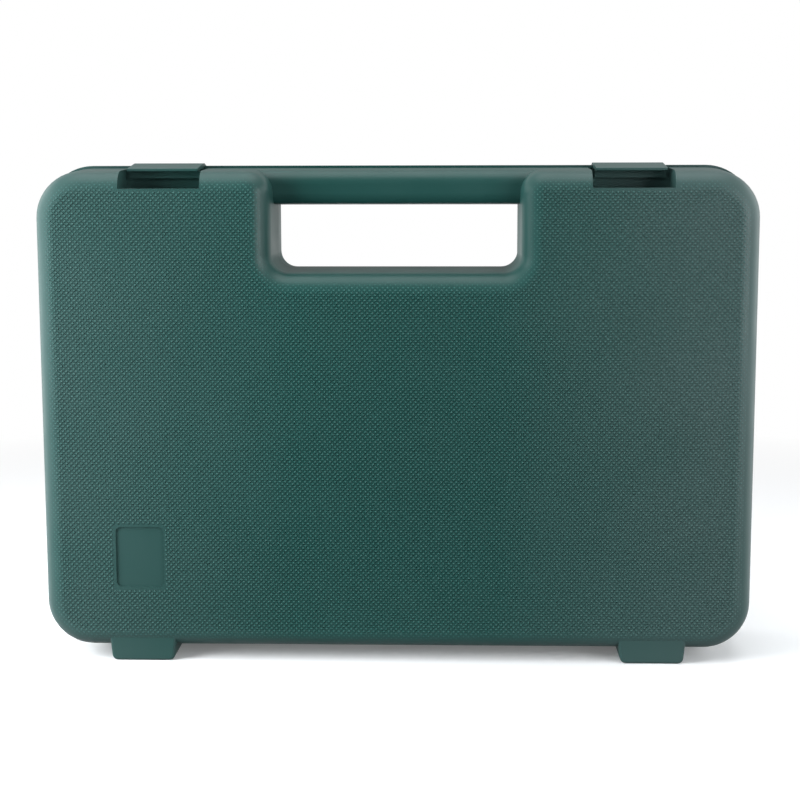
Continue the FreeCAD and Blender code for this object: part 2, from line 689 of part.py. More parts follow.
def hull_prism(outline, y, depth):
    """Prism over the outline round two circles, its large circle on the drive axis."""
    radius0, reach, radius1, sine, cosine = outline

    def at(x, z):
        return point(head_x + x, y, ratchet_z + z)

    high0 = at(radius0 * sine, radius0 * cosine)
    low0 = at(radius0 * sine, -radius0 * cosine)
    high1 = at(reach + radius1 * sine, radius1 * cosine)
    low1 = at(reach + radius1 * sine, -radius1 * cosine)
    edges = [Part.Arc(high0, at(-radius0, 0), low0).toShape(),
             Part.LineSegment(low0, low1).toShape(),
             Part.Arc(low1, at(reach + radius1, 0), high1).toShape(),
             Part.LineSegment(high1, high0).toShape()]
    return Part.Face(Part.Wire(edges)).extrude(DEEP * depth)


def screw_places():
    """Offsets from the drive axis of the three cover screws."""
    angle = math.radians(SCREW_ANGLE)
    along = SCREW_CIRCLE * math.cos(angle)
    aside = SCREW_CIRCLE * math.sin(angle)
    return ((along, aside), (along, -aside), (TAIL_SCREW_X, 0))


def at_head(x, y, z):
    """Point given from the drive axis."""
    return point(head_x + x, y, ratchet_z + z)


def cover_outline(gap):
    return hull_corners(HEAD_RADIUS - COVER_RIM + gap, COVER_TAIL_X, COVER_TAIL_RADIUS + gap)


def pawl_pocket():
    """Room for the pawl and the selector stem behind the gear."""
    return box(head_x, head_x + POCKET_END_X, pocket_y0, cover_y,
               ratchet_z - POCKET_HALF_WIDTH, ratchet_z + POCKET_HALF_WIDTH)


def ratchet_body():
    """Forged head, neck and shank, hollowed for the gear, the pawl and the selector."""
    head = hull_prism(hull_corners(HEAD_RADIUS, TAIL_REACH, TAIL_RADIUS), head_y0, HEAD_THICKNESS)
    rims = [e for e in head.Edges if all(abs(v.Y - head_y0) < 1e-6 for v in e.Vertexes)
            or all(abs(v.Y - head_y1) < 1e-6 for v in e.Vertexes)]
    head = head.makeFillet(HEAD_FILLET, rims)
    neck_x = head_x + TAIL_REACH
    axis = point(neck_x, head_mid_y, ratchet_z)
    neck_end = 2 * TAIL_RADIUS
    neck = turned(((0, NECK_RADIUS), (neck_end, NECK_RADIUS), (neck_end + NECK_LENGTH, SHANK_RADIUS),
                   (grip_x1 - GRIP_END_WALL - neck_x, SHANK_RADIUS)), axis, ACROSS)
    cuts = [rod(GEAR_RADIUS + GEAR_GAP, at_head(0, pocket_y0, 0), cover_y - pocket_y0, DEEP),
            rod(HUB_RADIUS + PIN_RUNNING_GAP, at_head(0, head_y0, 0), HEAD_THICKNESS, DEEP),
            pawl_pocket(), hull_prism(cover_outline(COVER_GAP), cover_y, COVER_THICKNESS)]
    for x, z in screw_places():
        tip = at_head(x, head_y1 - SCREW_LENGTH - COVER_GAP, z)
        cuts.append(rod(SCREW_RADIUS + PIN_FIT_GAP, tip, SCREW_LENGTH, DEEP))
    pin_floor = at_head(PAWL_AXIS_X, head_y0 + GEAR_FLOOR / 2, 0)
    cuts.append(rod(PAWL_PIN_RADIUS + PIN_FIT_GAP, pin_floor, GEAR_FLOOR, DEEP))
    return joined(head, neck).cut(cuts).removeSplitter()


def ratchet_grip():
    """Turned grip with a waist behind its front flange, over the end of the shank."""
    start = point(grip_x0, head_mid_y, ratchet_z)
    grip = turned(((0, GRIP_WAIST), (TOOL_CHAMFER, GRIP_WAIST + TOOL_CHAMFER), (GRIP_FLANGE, GRIP_RADIUS),
                   (GRIP_WAIST_X, GRIP_WAIST), (GRIP_SWELL_X, GRIP_RADIUS - TOOL_CHAMFER),
                   (GRIP_BARREL_X, GRIP_RADIUS), (GRIP_LENGTH - GRIP_END_TAPER, GRIP_RADIUS),
                   (GRIP_LENGTH, GRIP_WAIST)), start, ACROSS)
    return grip.cut(rod(SHANK_RADIUS + PIN_FIT_GAP, start, GRIP_LENGTH - GRIP_END_WALL, ACROSS))


def ratchet_cover():
    """Cover plate over the gear and the pawl, with holes for hub, selector stem and screws."""
    plate = hull_prism(cover_outline(0), cover_y, COVER_THICKNESS)
    hub_hole = TOP_HUB_RADIUS + PIN_RUNNING_GAP
    stem_hole = LEVER_STEM_RADIUS + PIN_RUNNING_GAP
    pin_hole = PAWL_PIN_RADIUS + PIN_FIT_GAP
    cuts = [rod(hub_hole, at_head(0, cover_y, 0), COVER_THICKNESS, DEEP),
            rod(stem_hole, at_head(LEVER_AXIS_X, cover_y, 0), COVER_THICKNESS, DEEP),
            rod(pin_hole, at_head(PAWL_AXIS_X, cover_y, 0), COVER_THICKNESS / 2, DEEP)]
    for x, z in screw_places():
        cuts.append(rod(SCREW_RADIUS + PIN_FIT_GAP, at_head(x, cover_y, z), COVER_THICKNESS, DEEP))
        cuts.append(cone(SCREW_RADIUS + COVER_GAP, SCREW_HEAD_RADIUS + COVER_GAP,
                         at_head(x, head_y1 - SCREW_HEAD_HEIGHT, z), SCREW_HEAD_HEIGHT, DEEP))
    return plate.cut(cuts)


def cover_screws():
    """Three countersunk screws, sunk flush in the cover."""
    screws = []
    for x, z in screw_places():
        shank = rod(SCREW_RADIUS, at_head(x, head_y1 - SCREW_LENGTH, z), SCREW_LENGTH, DEEP)
        under = at_head(x, head_y1 - SCREW_HEAD_HEIGHT, z)
        head = cone(SCREW_RADIUS, SCREW_HEAD_RADIUS, under, SCREW_HEAD_HEIGHT, DEEP)
        screws.append(joined(shank, head))
    return Part.makeCompound(screws)


def toothed_ring(teeth, radius, depth):
    """Corner points (x, z) of a ring of pointed teeth about the drive axis."""
    ring = []
    for i in range(2 * teeth):
        angle = math.pi * i / teeth
        reach = radius - depth * (i % 2)
        ring.append((reach * math.cos(angle), reach * math.sin(angle)))
    return ring


def ratchet_gear():
    """Toothed gear with its hubs, its drive square and the bore for the release button; and its ball."""
    ring = [at_head(x, gear_y0, z) for x, z in toothed_ring(GEAR_TEETH, GEAR_RADIUS, TOOTH_DEPTH)]
    gear = Part.Face(Part.makePolygon(ring + ring[:1])).extrude(DEEP * (gear_y1 - gear_y0))
    hub = rod(HUB_RADIUS, at_head(0, head_y0, 0), gear_y0 - head_y0 + GEAR_FLOOR, DEEP)
    top_hub = rod(TOP_HUB_RADIUS, at_head(0, gear_y1 - GEAR_FLOOR, 0), head_y1 - gear_y1 + GEAR_FLOOR, DEEP)
    half = DRIVE_SQUARE / 2
    square = box(head_x - half, head_x + half, square_end_y, head_y0 + GEAR_FLOOR,
                 ratchet_z - half, ratchet_z + half)
    tip = [e for e in square.Edges if all(abs(v.Y - square_end_y) < 1e-6 for v in e.Vertexes)]
    square = square.makeChamfer(TOOL_CHAMFER, tip)
    ball, seat = ball_seat(at_head(0, head_y0 - MALE_SQUARE_LENGTH / 2, 0), ACROSS)
    pin_room = button_pin_end() - BUTTON_TRAVEL - BUTTON_GAP
    pin_bore = rod(BUTTON_PIN_RADIUS + BUTTON_GAP, at_head(0, pin_room, 0), head_y1 - pin_room, DEEP)
    cap_floor = button_under - BUTTON_TRAVEL - BUTTON_GAP
    cap_bore = rod(BUTTON_RADIUS + BUTTON_GAP, at_head(0, cap_floor, 0), head_y1 - cap_floor, DEEP)
    return joined(gear, hub, top_hub, square).cut([seat, pin_bore, cap_bore]), ball


def button_pin_end():
    """Lower end of the release button's pin, just past the ball."""
    return head_y0 - MALE_SQUARE_LENGTH / 2 - BALL_DIAMETER / 2


def release_button():
    """Push button with a domed edge and the long pin that frees the ball."""
    end = button_pin_end()
    cap = rod(BUTTON_RADIUS, at_head(0, button_under, 0), button_y - button_under, DEEP)
    rim = [e for e in cap.Edges if e.BoundBox.YMin > button_y - 1e-6]
    cap = cap.makeFillet(TOOL_CHAMFER, rim)
    return joined(cap, rod(BUTTON_PIN_RADIUS, at_head(0, end, 0), button_under - end, DEEP))


def ratchet_pawl():
    """Two-way rocker pawl: toothed hollow towards the gear, pivot hole, dished back."""
    y = gear_y0
    depth = gear_y1 - gear_y0
    front = GEAR_RADIUS + PAWL_GAP
    half = PAWL_HALF_WIDTH
    block = box(head_x + GEAR_RADIUS - CUT_OVERRUN - half / 2, head_x + PAWL_BACK_X, y, y + depth,
                ratchet_z - half, ratchet_z + half)
    ends = [e for e in block.Edges if e.BoundBox.YLength > depth - 1e-6 and e.BoundBox.XMin > head_x + front]
    block = block.makeFillet(PAWL_ROUND, ends)
    pitch = 2 * math.pi / GEAR_TEETH
    ring = []
    for i in range(2 * GEAR_TEETH):
        angle = pitch * i / 2
        near_end = abs(math.sin(angle)) * front > half - PAWL_TEETH * pitch * front
        grow = TOOTH_DEPTH / 2 if i % 2 and near_end else 0
        ring.append(at_head((front + grow) * math.cos(angle), y, (front + grow) * math.sin(angle)))
    hollow = Part.Face(Part.makePolygon(ring + ring[:1])).extrude(DEEP * depth)
    pivot = rod(PAWL_PIN_RADIUS + PIN_RUNNING_GAP, at_head(PAWL_AXIS_X, y, 0), depth, DEEP)
    dish = rod(PLUNGER_RADIUS + CUT_OVERRUN, at_head(PAWL_BACK_X + PLUNGER_RADIUS, y, 0), depth, DEEP)
    return block.cut([hollow, pivot, dish])


def pawl_pin():
    """Pin that carries the pawl, held in the head floor and in the cover."""
    low = head_y0 + GEAR_FLOOR / 2
    return rod(PAWL_PIN_RADIUS, at_head(PAWL_AXIS_X, low, 0), cover_y + COVER_THICKNESS / 2 - low, DEEP)


def selector_lever():
    """Thumb lever on the cover, with the stem that carries the spring plunger."""
    lift = head_y1 + LEVER_LIFT
    outline = hull_corners(LEVER_HUB_RADIUS, LEVER_ARM, LEVER_TIP_RADIUS)
    arm = hull_prism(outline, lift, LEVER_THICKNESS).translated(ACROSS * LEVER_AXIS_X)
    top = [e for e in arm.Edges if all(abs(v.Y - lift - LEVER_THICKNESS) < 1e-6 for v in e.Vertexes)]
    arm = arm.makeFillet(TOOL_CHAMFER, top)
    stem = rod(LEVER_STEM_RADIUS, at_head(LEVER_AXIS_X, gear_y0, 0), lift - gear_y0, DEEP)
    bore_start = at_head(LEVER_AXIS_X + LEVER_STEM_RADIUS - 2 * SPRING_WIRE, plunger_y(), 0)
    bore = rod(PLUNGER_RADIUS + BALL_GAP, bore_start, 2 * LEVER_STEM_RADIUS, -ACROSS)
    return joined(stem, arm).cut(bore)


def plunger_y():
    return (gear_y0 + gear_y1) / 2


def selector_plunger():
    """Round-nosed plunger in the selector stem that presses the pawl over."""
    nose = PLUNGER_RADIUS / 2
    tail = at_head(LEVER_AXIS_X + PLUNGER_TAIL, plunger_y(), 0)
    pin = rod(PLUNGER_RADIUS, tail, PLUNGER_REACH + PLUNGER_TAIL, -ACROSS)
    tip_x = head_x + LEVER_AXIS_X - PLUNGER_REACH
    return pin.makeFillet(nose, [e for e in pin.Edges if e.BoundBox.XMax < tip_x + 1e-6])


def selector_spring():
    """Closed spring behind the plunger, as the sleeve that it fills."""
    start = at_head(LEVER_AXIS_X + PLUNGER_TAIL, plunger_y(), 0)
    length = LEVER_STEM_RADIUS - 2 * SPRING_WIRE - PLUNGER_TAIL
    sleeve = rod(PLUNGER_RADIUS, start, length, ACROSS)
    return sleeve.cut(rod(PLUNGER_RADIUS - SPRING_WIRE, start, length, ACROSS))


def build():
    os.makedirs("parts", exist_ok=True)
    save("base_shell", base_shell())
    save("lid_shell", lid_shell())
    for name, side in (("left", -1), ("right", 1)):
        save("hinge_pin_" + name, hinge_pin(side * FOOT_OFFSET))
        save("latch_" + name, latch(side * LATCH_OFFSET))
        save("latch_pin_" + name, latch_pin(side * LATCH_OFFSET))
    save("socket_rail", socket_rail())
    save("large_socket_rails", large_socket_rails())
    save("bar_rails", bar_rails())
    save("ratchet_rails", ratchet_rails())
    for size, diameter, length, start, along in socket_places():
        save("socket_" + str(size), socket(size, diameter, length, start, along))
    long_start, plug_start, short_start = bar_row()
    long_bar, long_ball = extension(EXTENSION_LONG, long_start)
    short_bar, short_ball = extension(EXTENSION_SHORT, short_start)
    save("extension_long", long_bar)
    save("extension_short", short_bar)
    save("extension_balls", Part.makeCompound([long_ball, short_ball]))
    plug, insert = plug_socket(plug_start)
    save("plug_socket", plug)
    save("plug_insert", insert)
    gear, ball = ratchet_gear()
    save("ratchet_body", ratchet_body())
    save("ratchet_grip", ratchet_grip())
    save("ratchet_cover", ratchet_cover())
    save("ratchet_screws", cover_screws())
    save("ratchet_gear", gear)
    save("ratchet_ball", ball)
    save("release_button", release_button())
    save("ratchet_pawl", ratchet_pawl())
    save("pawl_pin", pawl_pin())
    save("selector_lever", selector_lever())
    save("selector_plunger", selector_plunger())
    save("selector_spring", selector_spring())


build()
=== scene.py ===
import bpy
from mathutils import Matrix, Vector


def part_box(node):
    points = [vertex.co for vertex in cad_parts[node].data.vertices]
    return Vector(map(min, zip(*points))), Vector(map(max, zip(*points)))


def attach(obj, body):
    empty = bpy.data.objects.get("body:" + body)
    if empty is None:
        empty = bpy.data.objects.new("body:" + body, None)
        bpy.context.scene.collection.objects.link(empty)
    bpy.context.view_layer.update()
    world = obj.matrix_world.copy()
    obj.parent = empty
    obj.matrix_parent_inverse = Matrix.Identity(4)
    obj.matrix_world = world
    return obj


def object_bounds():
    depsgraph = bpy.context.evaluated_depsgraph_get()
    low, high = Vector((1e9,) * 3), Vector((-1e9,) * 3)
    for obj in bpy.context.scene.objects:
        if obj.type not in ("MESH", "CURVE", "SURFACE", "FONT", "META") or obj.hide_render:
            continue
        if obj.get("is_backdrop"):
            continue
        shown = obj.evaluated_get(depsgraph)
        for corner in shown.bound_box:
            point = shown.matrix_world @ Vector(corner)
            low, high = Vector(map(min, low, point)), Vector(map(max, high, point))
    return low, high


bl_info = {
    "name": "Socket Set Case Dresser",
    "version": (1, 0, 0),
    "blender": (4, 5, 0),
    "location": "View3D > Sidebar > Socket Set",
    "description": "Dresses the socket wrench set and its case: shapes, finishes and stage",
    "category": "Object",
}

import math

import bpy
import numpy as np
from bpy.props import FloatProperty, FloatVectorProperty, IntProperty, PointerProperty
from mathutils import Matrix, Vector

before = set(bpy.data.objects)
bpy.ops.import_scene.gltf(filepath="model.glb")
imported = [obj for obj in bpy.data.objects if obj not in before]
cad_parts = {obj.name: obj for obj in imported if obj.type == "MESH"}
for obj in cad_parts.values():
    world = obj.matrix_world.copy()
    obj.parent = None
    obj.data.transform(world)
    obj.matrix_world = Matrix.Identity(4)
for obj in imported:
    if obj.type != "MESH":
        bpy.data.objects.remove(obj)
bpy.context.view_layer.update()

MM = 0.001
PHOTO_PIXELS = 800.0

CASE_NODES = ("base_shell", "lid_shell", "latch_left", "latch_right")
CHROME_NODES = ("extension_long", "extension_short", "plug_socket", "ratchet_body",
                "ratchet_cover", "ratchet_gear", "release_button", "selector_lever")
STEEL_NODES = ("hinge_pin_left", "hinge_pin_right", "latch_pin_left", "latch_pin_right",
               "pawl_pin", "selector_plunger", "selector_spring", "extension_balls",
               "ratchet_ball", "ratchet_screws", "ratchet_pawl")
RAIL_NODES = ("socket_rail", "large_socket_rails", "bar_rails", "ratchet_rails")
SOCKET_SIZES = (10, 12, 13, 14, 17, 19, 22, 24, 27, 30, 32)
SOCKET_NODES = tuple("socket_%d" % size for size in SOCKET_SIZES)

# Sockets of a Mix node that mixes colours.
MIX_FIRST, MIX_SECOND, MIX_RESULT = 6, 7, 2

# Values between which most of a noise texture lies.
NOISE_LOW, NOISE_HIGH = 0.3, 0.7

# Depth of the bump on moulded plastic and on worked metal.
CASE_BUMP_DEPTH = 0.06 * MM
SKIN_BUMP_DEPTH = 0.05 * MM
METAL_BUMP_DEPTH = 0.02 * MM

# Material, node group, its mask, colour setting, colour factors where the mask is 0 and 1,
# roughness, bump strength, bump depth, metallic, and the nodes that wear it.
TOOL_FINISHES = (
    ("satin_chrome", "worked_metal", "Smears", "chrome", (1.0, 0.9),
     0.17, 0.05, METAL_BUMP_DEPTH, 1.0, CHROME_NODES + SOCKET_NODES),
    ("knurled_chrome", "worked_metal", "Smears", "chrome", (0.62, 0.5),
     0.34, 0.1, METAL_BUMP_DEPTH, 1.0, ()),
    ("plain_steel", "worked_metal", "Smears", "steel", (1.0, 0.8),
     0.28, 0.1, METAL_BUMP_DEPTH, 1.0, STEEL_NODES),
    ("grip_black_skin", "moulded_skin", "Clouds", "grip", (1.0, 1.6),
     0.5, 0.3, SKIN_BUMP_DEPTH, 0.0, ("ratchet_grip",)),
    ("rail_black_skin", "moulded_skin", "Clouds", "rail", (1.0, 1.4),
     0.46, 0.25, SKIN_BUMP_DEPTH, 0.0, RAIL_NODES),
    ("insert_rubber_skin", "moulded_skin", "Clouds", "rubber", (1.0, 1.8),
     0.75, 0.3, SKIN_BUMP_DEPTH, 0.0, ("plug_insert",)),
)

# Lamp, place, size, power setting, and whether reflections show it.
SOFTBOXES = (
    ("top_softbox", (0.0, -0.15, 1.3), 1.2, "top_power", True),
    ("left_softbox", (-0.45, -0.25, 0.21), 0.3, "left_power", False),
    ("right_softbox", (0.60, -0.60, 0.20), 0.5, "right_power", True),
    ("left_rim", (-0.45, 0.05, 0.20), 0.4, "rim_power", True),
    ("right_rim", (0.45, 0.05, 0.20), 0.4, "rim_power", True),
    ("front_fill", (0.0, -1.8, 0.9), 1.0, "front_power", False),
)


def length(name, description, default):
    """A size in metres that a user can change."""
    return FloatProperty(name=name, description=description, default=default,
                         unit="LENGTH", precision=5)


def length_pair(name, description, default):
    """Two sizes in metres that a user can change."""
    return FloatVectorProperty(name=name, description=description, default=default, size=2,
                               unit="LENGTH", precision=5)


def fraction(name, description, default):
    """A number from 0 to 1 that a user can change."""
    return FloatProperty(name=name, description=description, default=default, min=0, max=1)


def tilt(name, description, degrees):
    """An angle that a user can change."""
    return FloatProperty(name=name, description=description, default=math.radians(degrees),
                         subtype="ANGLE")


def lamp_power(name, description, default):
    """The power of a lamp in watts that a user can change."""
    return FloatProperty(name=name, description=description, default=default, unit="POWER")


def colour(name, description, default):
    """A linear colour that a user can change."""
    return FloatVectorProperty(name=name, description=description, default=default, size=3,
                               subtype="COLOR", min=0.0, max=1.0)


class CaseShapeSettings(bpy.types.PropertyGroup):
    """Outline of the case in its parting plane, as the CAD model has it."""
    foot_height: length("Foot height", "Height of the hinge feet below the body", 4.8 * MM)
    lid_rise: length("Lid rise", "How far the lid's top stands above the base's top", 1.0 * MM)
    corner_radius: length("Corner radius", "Outer corners in the parting plane", 20.0 * MM)
    bay_width: length("Bay width", "Width of the handle bay in the parting plane", 99.0 * MM)
    bay_drop: length("Bay drop", "Depth of the handle bay below the top", 40.9 * MM)
    bay_radius: length("Bay radius", "Lower corners of the handle bay", 6.0 * MM)
    shoulder_radius: length("Shoulder radius", "Corners beside the handle", 10.0 * MM)
    draft: tilt("Draft", "Slope of the outer walls", 2.5)
    face_fillet: length("Face fillet", "Rounding between wall and outer face", 8.0 * MM)
    notch_offset: length("Notch offset", "Middle of each latch notch from the case's middle",
                         94.5 * MM)
    notch_width: length("Notch width", "Width of each latch notch", 32.8 * MM)
    notch_height: length("Notch height", "Height of each latch notch", 8.0 * MM)
    panel_centre: length_pair("Panel centre", "Middle of the bare panel on the base face (x, z)",
                              (-105.3 * MM, 44.2 * MM))
    panel_size: length_pair("Panel size", "Width and height of the bare panel",
                            (19.6 * MM, 25.0 * MM))


class CaseGrainSettings(bpy.types.PropertyGroup):
    """Raised dots of the outer faces."""
    pitch: length("Pitch", "Distance between dots along a row", 2.05 * MM)
    row_step: length("Row step", "Distance between rows, of which every second one is shifted",
                     1.025 * MM)
    half_width: length("Half width", "Half of a dot's width", 0.95 * MM)
    height: length("Height", "Height of a dot on the flat face", 0.24 * MM)
    fade_start: length("Fade start", "Distance from the face's edge where the dots begin", 0.2 * MM)
    fade_end: length("Fade end", "Distance from the face's edge where they have their full height",
                     1.6 * MM)
    least_growth: fraction("Least growth", "Share of the height that the first dots have", 0.12)
    edge_reach: fraction("Edge reach", "Share of the way to the edge that a dot may cover", 0.8)
    sink: length("Sink", "Depth of a dot's foot below the surface", 0.05 * MM)
    margin: length("Margin", "Smooth border round notches and panel", 1.0 * MM)


class CaseFinishSettings(bpy.types.PropertyGroup):
    """Green moulded plastic of shells and latches, with painted shade in the grain's grooves,
    painted highlights on the dots' tips and a painted sheen towards both ends.
    """
    green: colour("Green", "Colour of the plastic", (0.0108, 0.0550, 0.0480))
    pale: colour("Pale green", "Colour of the lighter clouds", (0.0128, 0.0610, 0.0540))
    # Painted shade: the grain's grooves are coloured darker than the green to stand in for the
    # shade between the dots.
    groove_shade: colour("Groove", "Colour of the grain's grooves", (0.0048, 0.0290, 0.0250))
    groove_shade_lift: FloatProperty(name="Groove lift", default=1.15,
                               description="Brightness of the grooves' lighter clouds")
    # Painted highlight: the dots' tips are coloured paler to stand in for the light that they
    # catch.
    tip_highlight: colour("Tip", "Colour of the grain's rubbed tips", (0.0260, 0.1090, 0.0965))
    # Painted sheen: a pale grey laid over the green towards both ends of the case stands in for the
    # reflections there.
    painted_sheen: colour("Rubbed", "Colour that the plastic takes where hands and shelves rub it",
                   (0.150, 0.163, 0.168))
    roughness: fraction("Roughness", "Mean roughness of the moulded skin", 0.42)
    shine: fraction("Shine", "Specular level of the moulded skin", 0.35)
    bump: fraction("Bump", "Strength of the fine skin grain", 0.22)


class ToolFinishSettings(bpy.types.PropertyGroup):
    """Metal, grip and rubber of the tools."""
    chrome: colour("Chrome", "Colour of the satin plating", (0.56, 0.57, 0.58))
    steel: colour("Steel", "Colour of plain steel", (0.48, 0.48, 0.49))
    grip: colour("Grip", "Colour of the moulded grip", (0.016, 0.017, 0.018))
    rubber: colour("Rubber", "Colour of the insert", (0.012, 0.012, 0.012))
    rail: colour("Rail", "Colour of the moulded rails", (0.022, 0.023, 0.025))
    knurl_height: length("Knurl height", "Height of the knurl on the sockets", 0.28 * MM)
    knurl_length: length("Knurl length", "Length of the knurled band", 7.0 * MM)
    knurl_count: IntProperty(name="Knurl count", description="Diamonds round a socket",
                             default=40, min=8)
    knurl_gap: length("Knurl gap", "Middle of the band from the end of a lying socket", 13.0 * MM)
    rib_radius: length("Rib radius", "Thickness of the ribs on the grip", 0.55 * MM)
    rib_sink: fraction("Rib sink", "Share of the rib's radius that lies below the grip", 0.6)
    rib_count: IntProperty(name="Rib count", description="Ribs on the grip", default=22, min=2)


class StageSettings(bpy.types.PropertyGroup):
    """Camera, lights and floor."""
    eye: FloatVectorProperty(name="Eye", description="Place of the camera", size=3, unit="LENGTH",
                             subtype="TRANSLATION", default=(0.0231, -0.700, 0.205))
    pitch: tilt("Pitch", "Downward tilt of the camera", 8.08)
    yaw: tilt("Yaw", "Turn of the camera to the left", 1.82)
    roll: tilt("Roll", "Roll of the camera", -0.12)
    focal_pixels: FloatProperty(name="Focal length in pixels", default=1684.0,
                                description="For a picture as wide as the photo")
    top_power: lamp_power("Top light", "Power of the overhead softbox", 11.0)
    left_power: lamp_power("Left light", "Power of the near left softbox", 3.9)
    right_power: lamp_power("Right light", "Power of the right softbox", 4.4)
    rim_power: lamp_power("Rim lights", "Power of each softbox beside the case", 0.9)
    front_power: lamp_power("Front light", "Power of the front fill", 0.8)
    light_tint: colour("Light tint", "Colour of the lamps", (0.95, 0.98, 1.0))
    floor_tone: colour("Floor", "Colour of the floor", (0.93, 0.93, 0.94))
    floor_bounce: colour("Floor bounce", "Colour of the floor for the light that it sends back up",
                         (0.25, 0.25, 0.26))
    floor_glow: fraction("Floor glow", "Light of its own that the floor shows the camera", 0.12)
    floor_near: length("Floor near", "Radius of the plainly lit floor round the case", 0.26)
    floor_far: length("Floor far", "Radius from which the floor is as white as the back", 0.62)
    floor_edge: length("Floor edge", "Where reflections begin to lose the floor in front (y)", 0.03)
    floor_end: length("Floor end", "Where reflections no longer show the floor in front (y)", -0.10)
    ambient: fraction("Ambient", "Light from all round", 0.18)
    front_shade: fraction("Front shade", "Brightness that reflections find before the case", 0.0)
    back_shade: fraction("Back shade", "Brightness that reflections find behind the case", 0.25)


def node_box(name):
    """Low and high corner of a CAD node's box, as arrays."""
    low, high = (np.array(corner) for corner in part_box(name))
    return low, high


def new_piece(name, vertices, faces, body, material):
    """Mesh object at the origin from whole arrays of vertices and of equal-sided faces."""
    mesh = bpy.data.meshes.new(name)
    sides = faces.shape[1]
    mesh.vertices.add(len(vertices))
    mesh.vertices.foreach_set("co", np.ascontiguousarray(vertices, dtype=np.float32).ravel())
    mesh.loops.add(faces.size)
    mesh.loops.foreach_set("vertex_index", np.ascontiguousarray(faces, dtype=np.int32).ravel())
    mesh.polygons.add(len(faces))
    mesh.polygons.foreach_set("loop_start", np.arange(0, faces.size, sides, dtype=np.int32))
    mesh.update(calc_edges=True)
    if mesh.validate():
        raise RuntimeError(name + " has faulty faces")
    piece = bpy.data.objects.new(name, mesh)
    bpy.context.scene.collection.objects.link(piece)
    mesh.materials.append(material)
    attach(piece, body)
    return piece


def full_turn(count):
    """Evenly spaced angles round a circle, without the last, which is the first again."""
    return np.linspace(0, 2 * math.pi, count, endpoint=False)


def band_faces(rows, around):
    """Four-sided faces between neighbouring rows of a band that closes on itself."""
    i, j = np.indices((rows - 1, around))
    following = (j + 1) % around
    corners = [i * around + j, i * around + following,
               (i + 1) * around + following, (i + 1) * around + j]
    return np.stack(corners, axis=-1).reshape(-1, 4)


def rounded_outline(corners, arc_steps=14):
    """Closed loop of points: each corner (x, z, radius) becomes points on its tangent arc.

    The arc's centre lies on the bisector at radius / sin(half angle), and the points turn evenly
    from the tangent point of the edge before to that of the edge after.
    """
    corner = np.array(corners, dtype=float)
    place, radius = corner[:, :2], corner[:, 2]
    before = np.roll(place, 1, axis=0) - place
    after = np.roll(place, -1, axis=0) - place
    before /= np.linalg.norm(before, axis=1, keepdims=True)
    after /= np.linalg.norm(after, axis=1, keepdims=True)
    half = np.arccos(np.clip((before * after).sum(axis=1), -1, 1)) / 2
    bisector = before + after
    bisector /= np.linalg.norm(bisector, axis=1, keepdims=True)
    centre = place + bisector * (radius / np.sin(half))[:, None]
    start = place + before * (radius / np.tan(half))[:, None] - centre
    end = place + after * (radius / np.tan(half))[:, None] - centre
    cross = start[:, 0] * end[:, 1] - start[:, 1] * end[:, 0]
    turn = np.arctan2(cross, (start * end).sum(axis=1))
    angle = turn[:, None] * np.linspace(0, 1, arc_steps)[None, :]
    x = start[:, :1] * np.cos(angle) - start[:, 1:] * np.sin(angle)
    z = start[:, :1] * np.sin(angle) + start[:, 1:] * np.cos(angle)
    return (np.stack([x, z], axis=-1) + centre[:, None, :]).reshape(-1, 2)


def inset_of(points, loop):
    """Distance of points (x, z) inside a closed loop: least distance to its edges, minus outside.

    A point is inside where a line from it towards +x crosses the loop an odd number of times.
    """
    edge = np.roll(loop, -1, axis=0) - loop
    size = (edge ** 2).sum(axis=1)
    away = points[:, None, :] - loop[None, :, :]
    along = np.clip((away * edge[None]).sum(axis=2) / size[None], 0, 1)
    gap = np.linalg.norm(away - along[..., None] * edge[None], axis=2).min(axis=1)
    z0, z1 = loop[:, 1], loop[:, 1] + edge[:, 1]
    spans = (z0[None] > points[:, 1:]) != (z1[None] > points[:, 1:])
    rise = np.where(edge[:, 1] == 0, 1.0, edge[:, 1])
    cross_x = loop[None, :, 0] + (points[:, 1:] - z0[None]) / rise[None] * edge[None, :, 0]
    inside = (spans & (points[:, :1] < cross_x)).sum(axis=1) % 2 == 1
    return np.where(inside, gap, -gap)


def case_loop(shape, rise):
    """The case outline with its handle bay, in the parting plane."""
    high = node_box("base_shell")[1]
    half, top = high[0], high[2] + rise
    bay = shape.bay_width / 2
    ledge = high[2] - shape.bay_drop
    foot = shape.foot_height
    outer, shoulder, hollow = shape.corner_radius, shape.shoulder_radius, shape.bay_radius
    return rounded_outline(((-half, foot, outer), (-half, top, outer),
                            (-bay, top, shoulder), (-bay, ledge, hollow),
                            (bay, ledge, hollow), (bay, top, shoulder),
                            (half, top, outer), (half, foot, outer)))


def shell_depth(points, loop, shape, face):
    """Depth of the outer skin below the face and distance from the face's edge, at points (x, z).

    The wall leans in by the draft over the half depth, then a quarter round of the fillet radius r
    leads to the flat face: the skin lies r - sqrt(r^2 - (r - s)^2) below it at a distance s < r.
    """
    lean = face * math.tan(shape.draft)
    fillet = shape.face_fillet
    edge = inset_of(points, loop) - lean
    s = np.clip(edge, 0, fillet)
    return fillet - np.sqrt(fillet ** 2 - (fillet - s) ** 2), edge


def feed(tree, socket, value):
    """Links an input to a socket, or sets it to a plain value."""
    if isinstance(value, bpy.types.NodeSocket):
        tree.links.new(value, socket)
    else:
        socket.default_value = value


def node_group(name, inputs, outputs):
    """Empty shader group with a place, further numbers as inputs, and numbers as outputs."""
    group = bpy.data.node_groups.new(name, "ShaderNodeTree")
    group.interface.new_socket("Place", in_out="INPUT", socket_type="NodeSocketVector")
    for side, labels in (("INPUT", inputs), ("OUTPUT", outputs)):
        for label in labels:
            group.interface.new_socket(label, in_out=side, socket_type="NodeSocketFloat")
    return group, group.nodes.new("NodeGroupInput"), group.nodes.new("NodeGroupOutput")


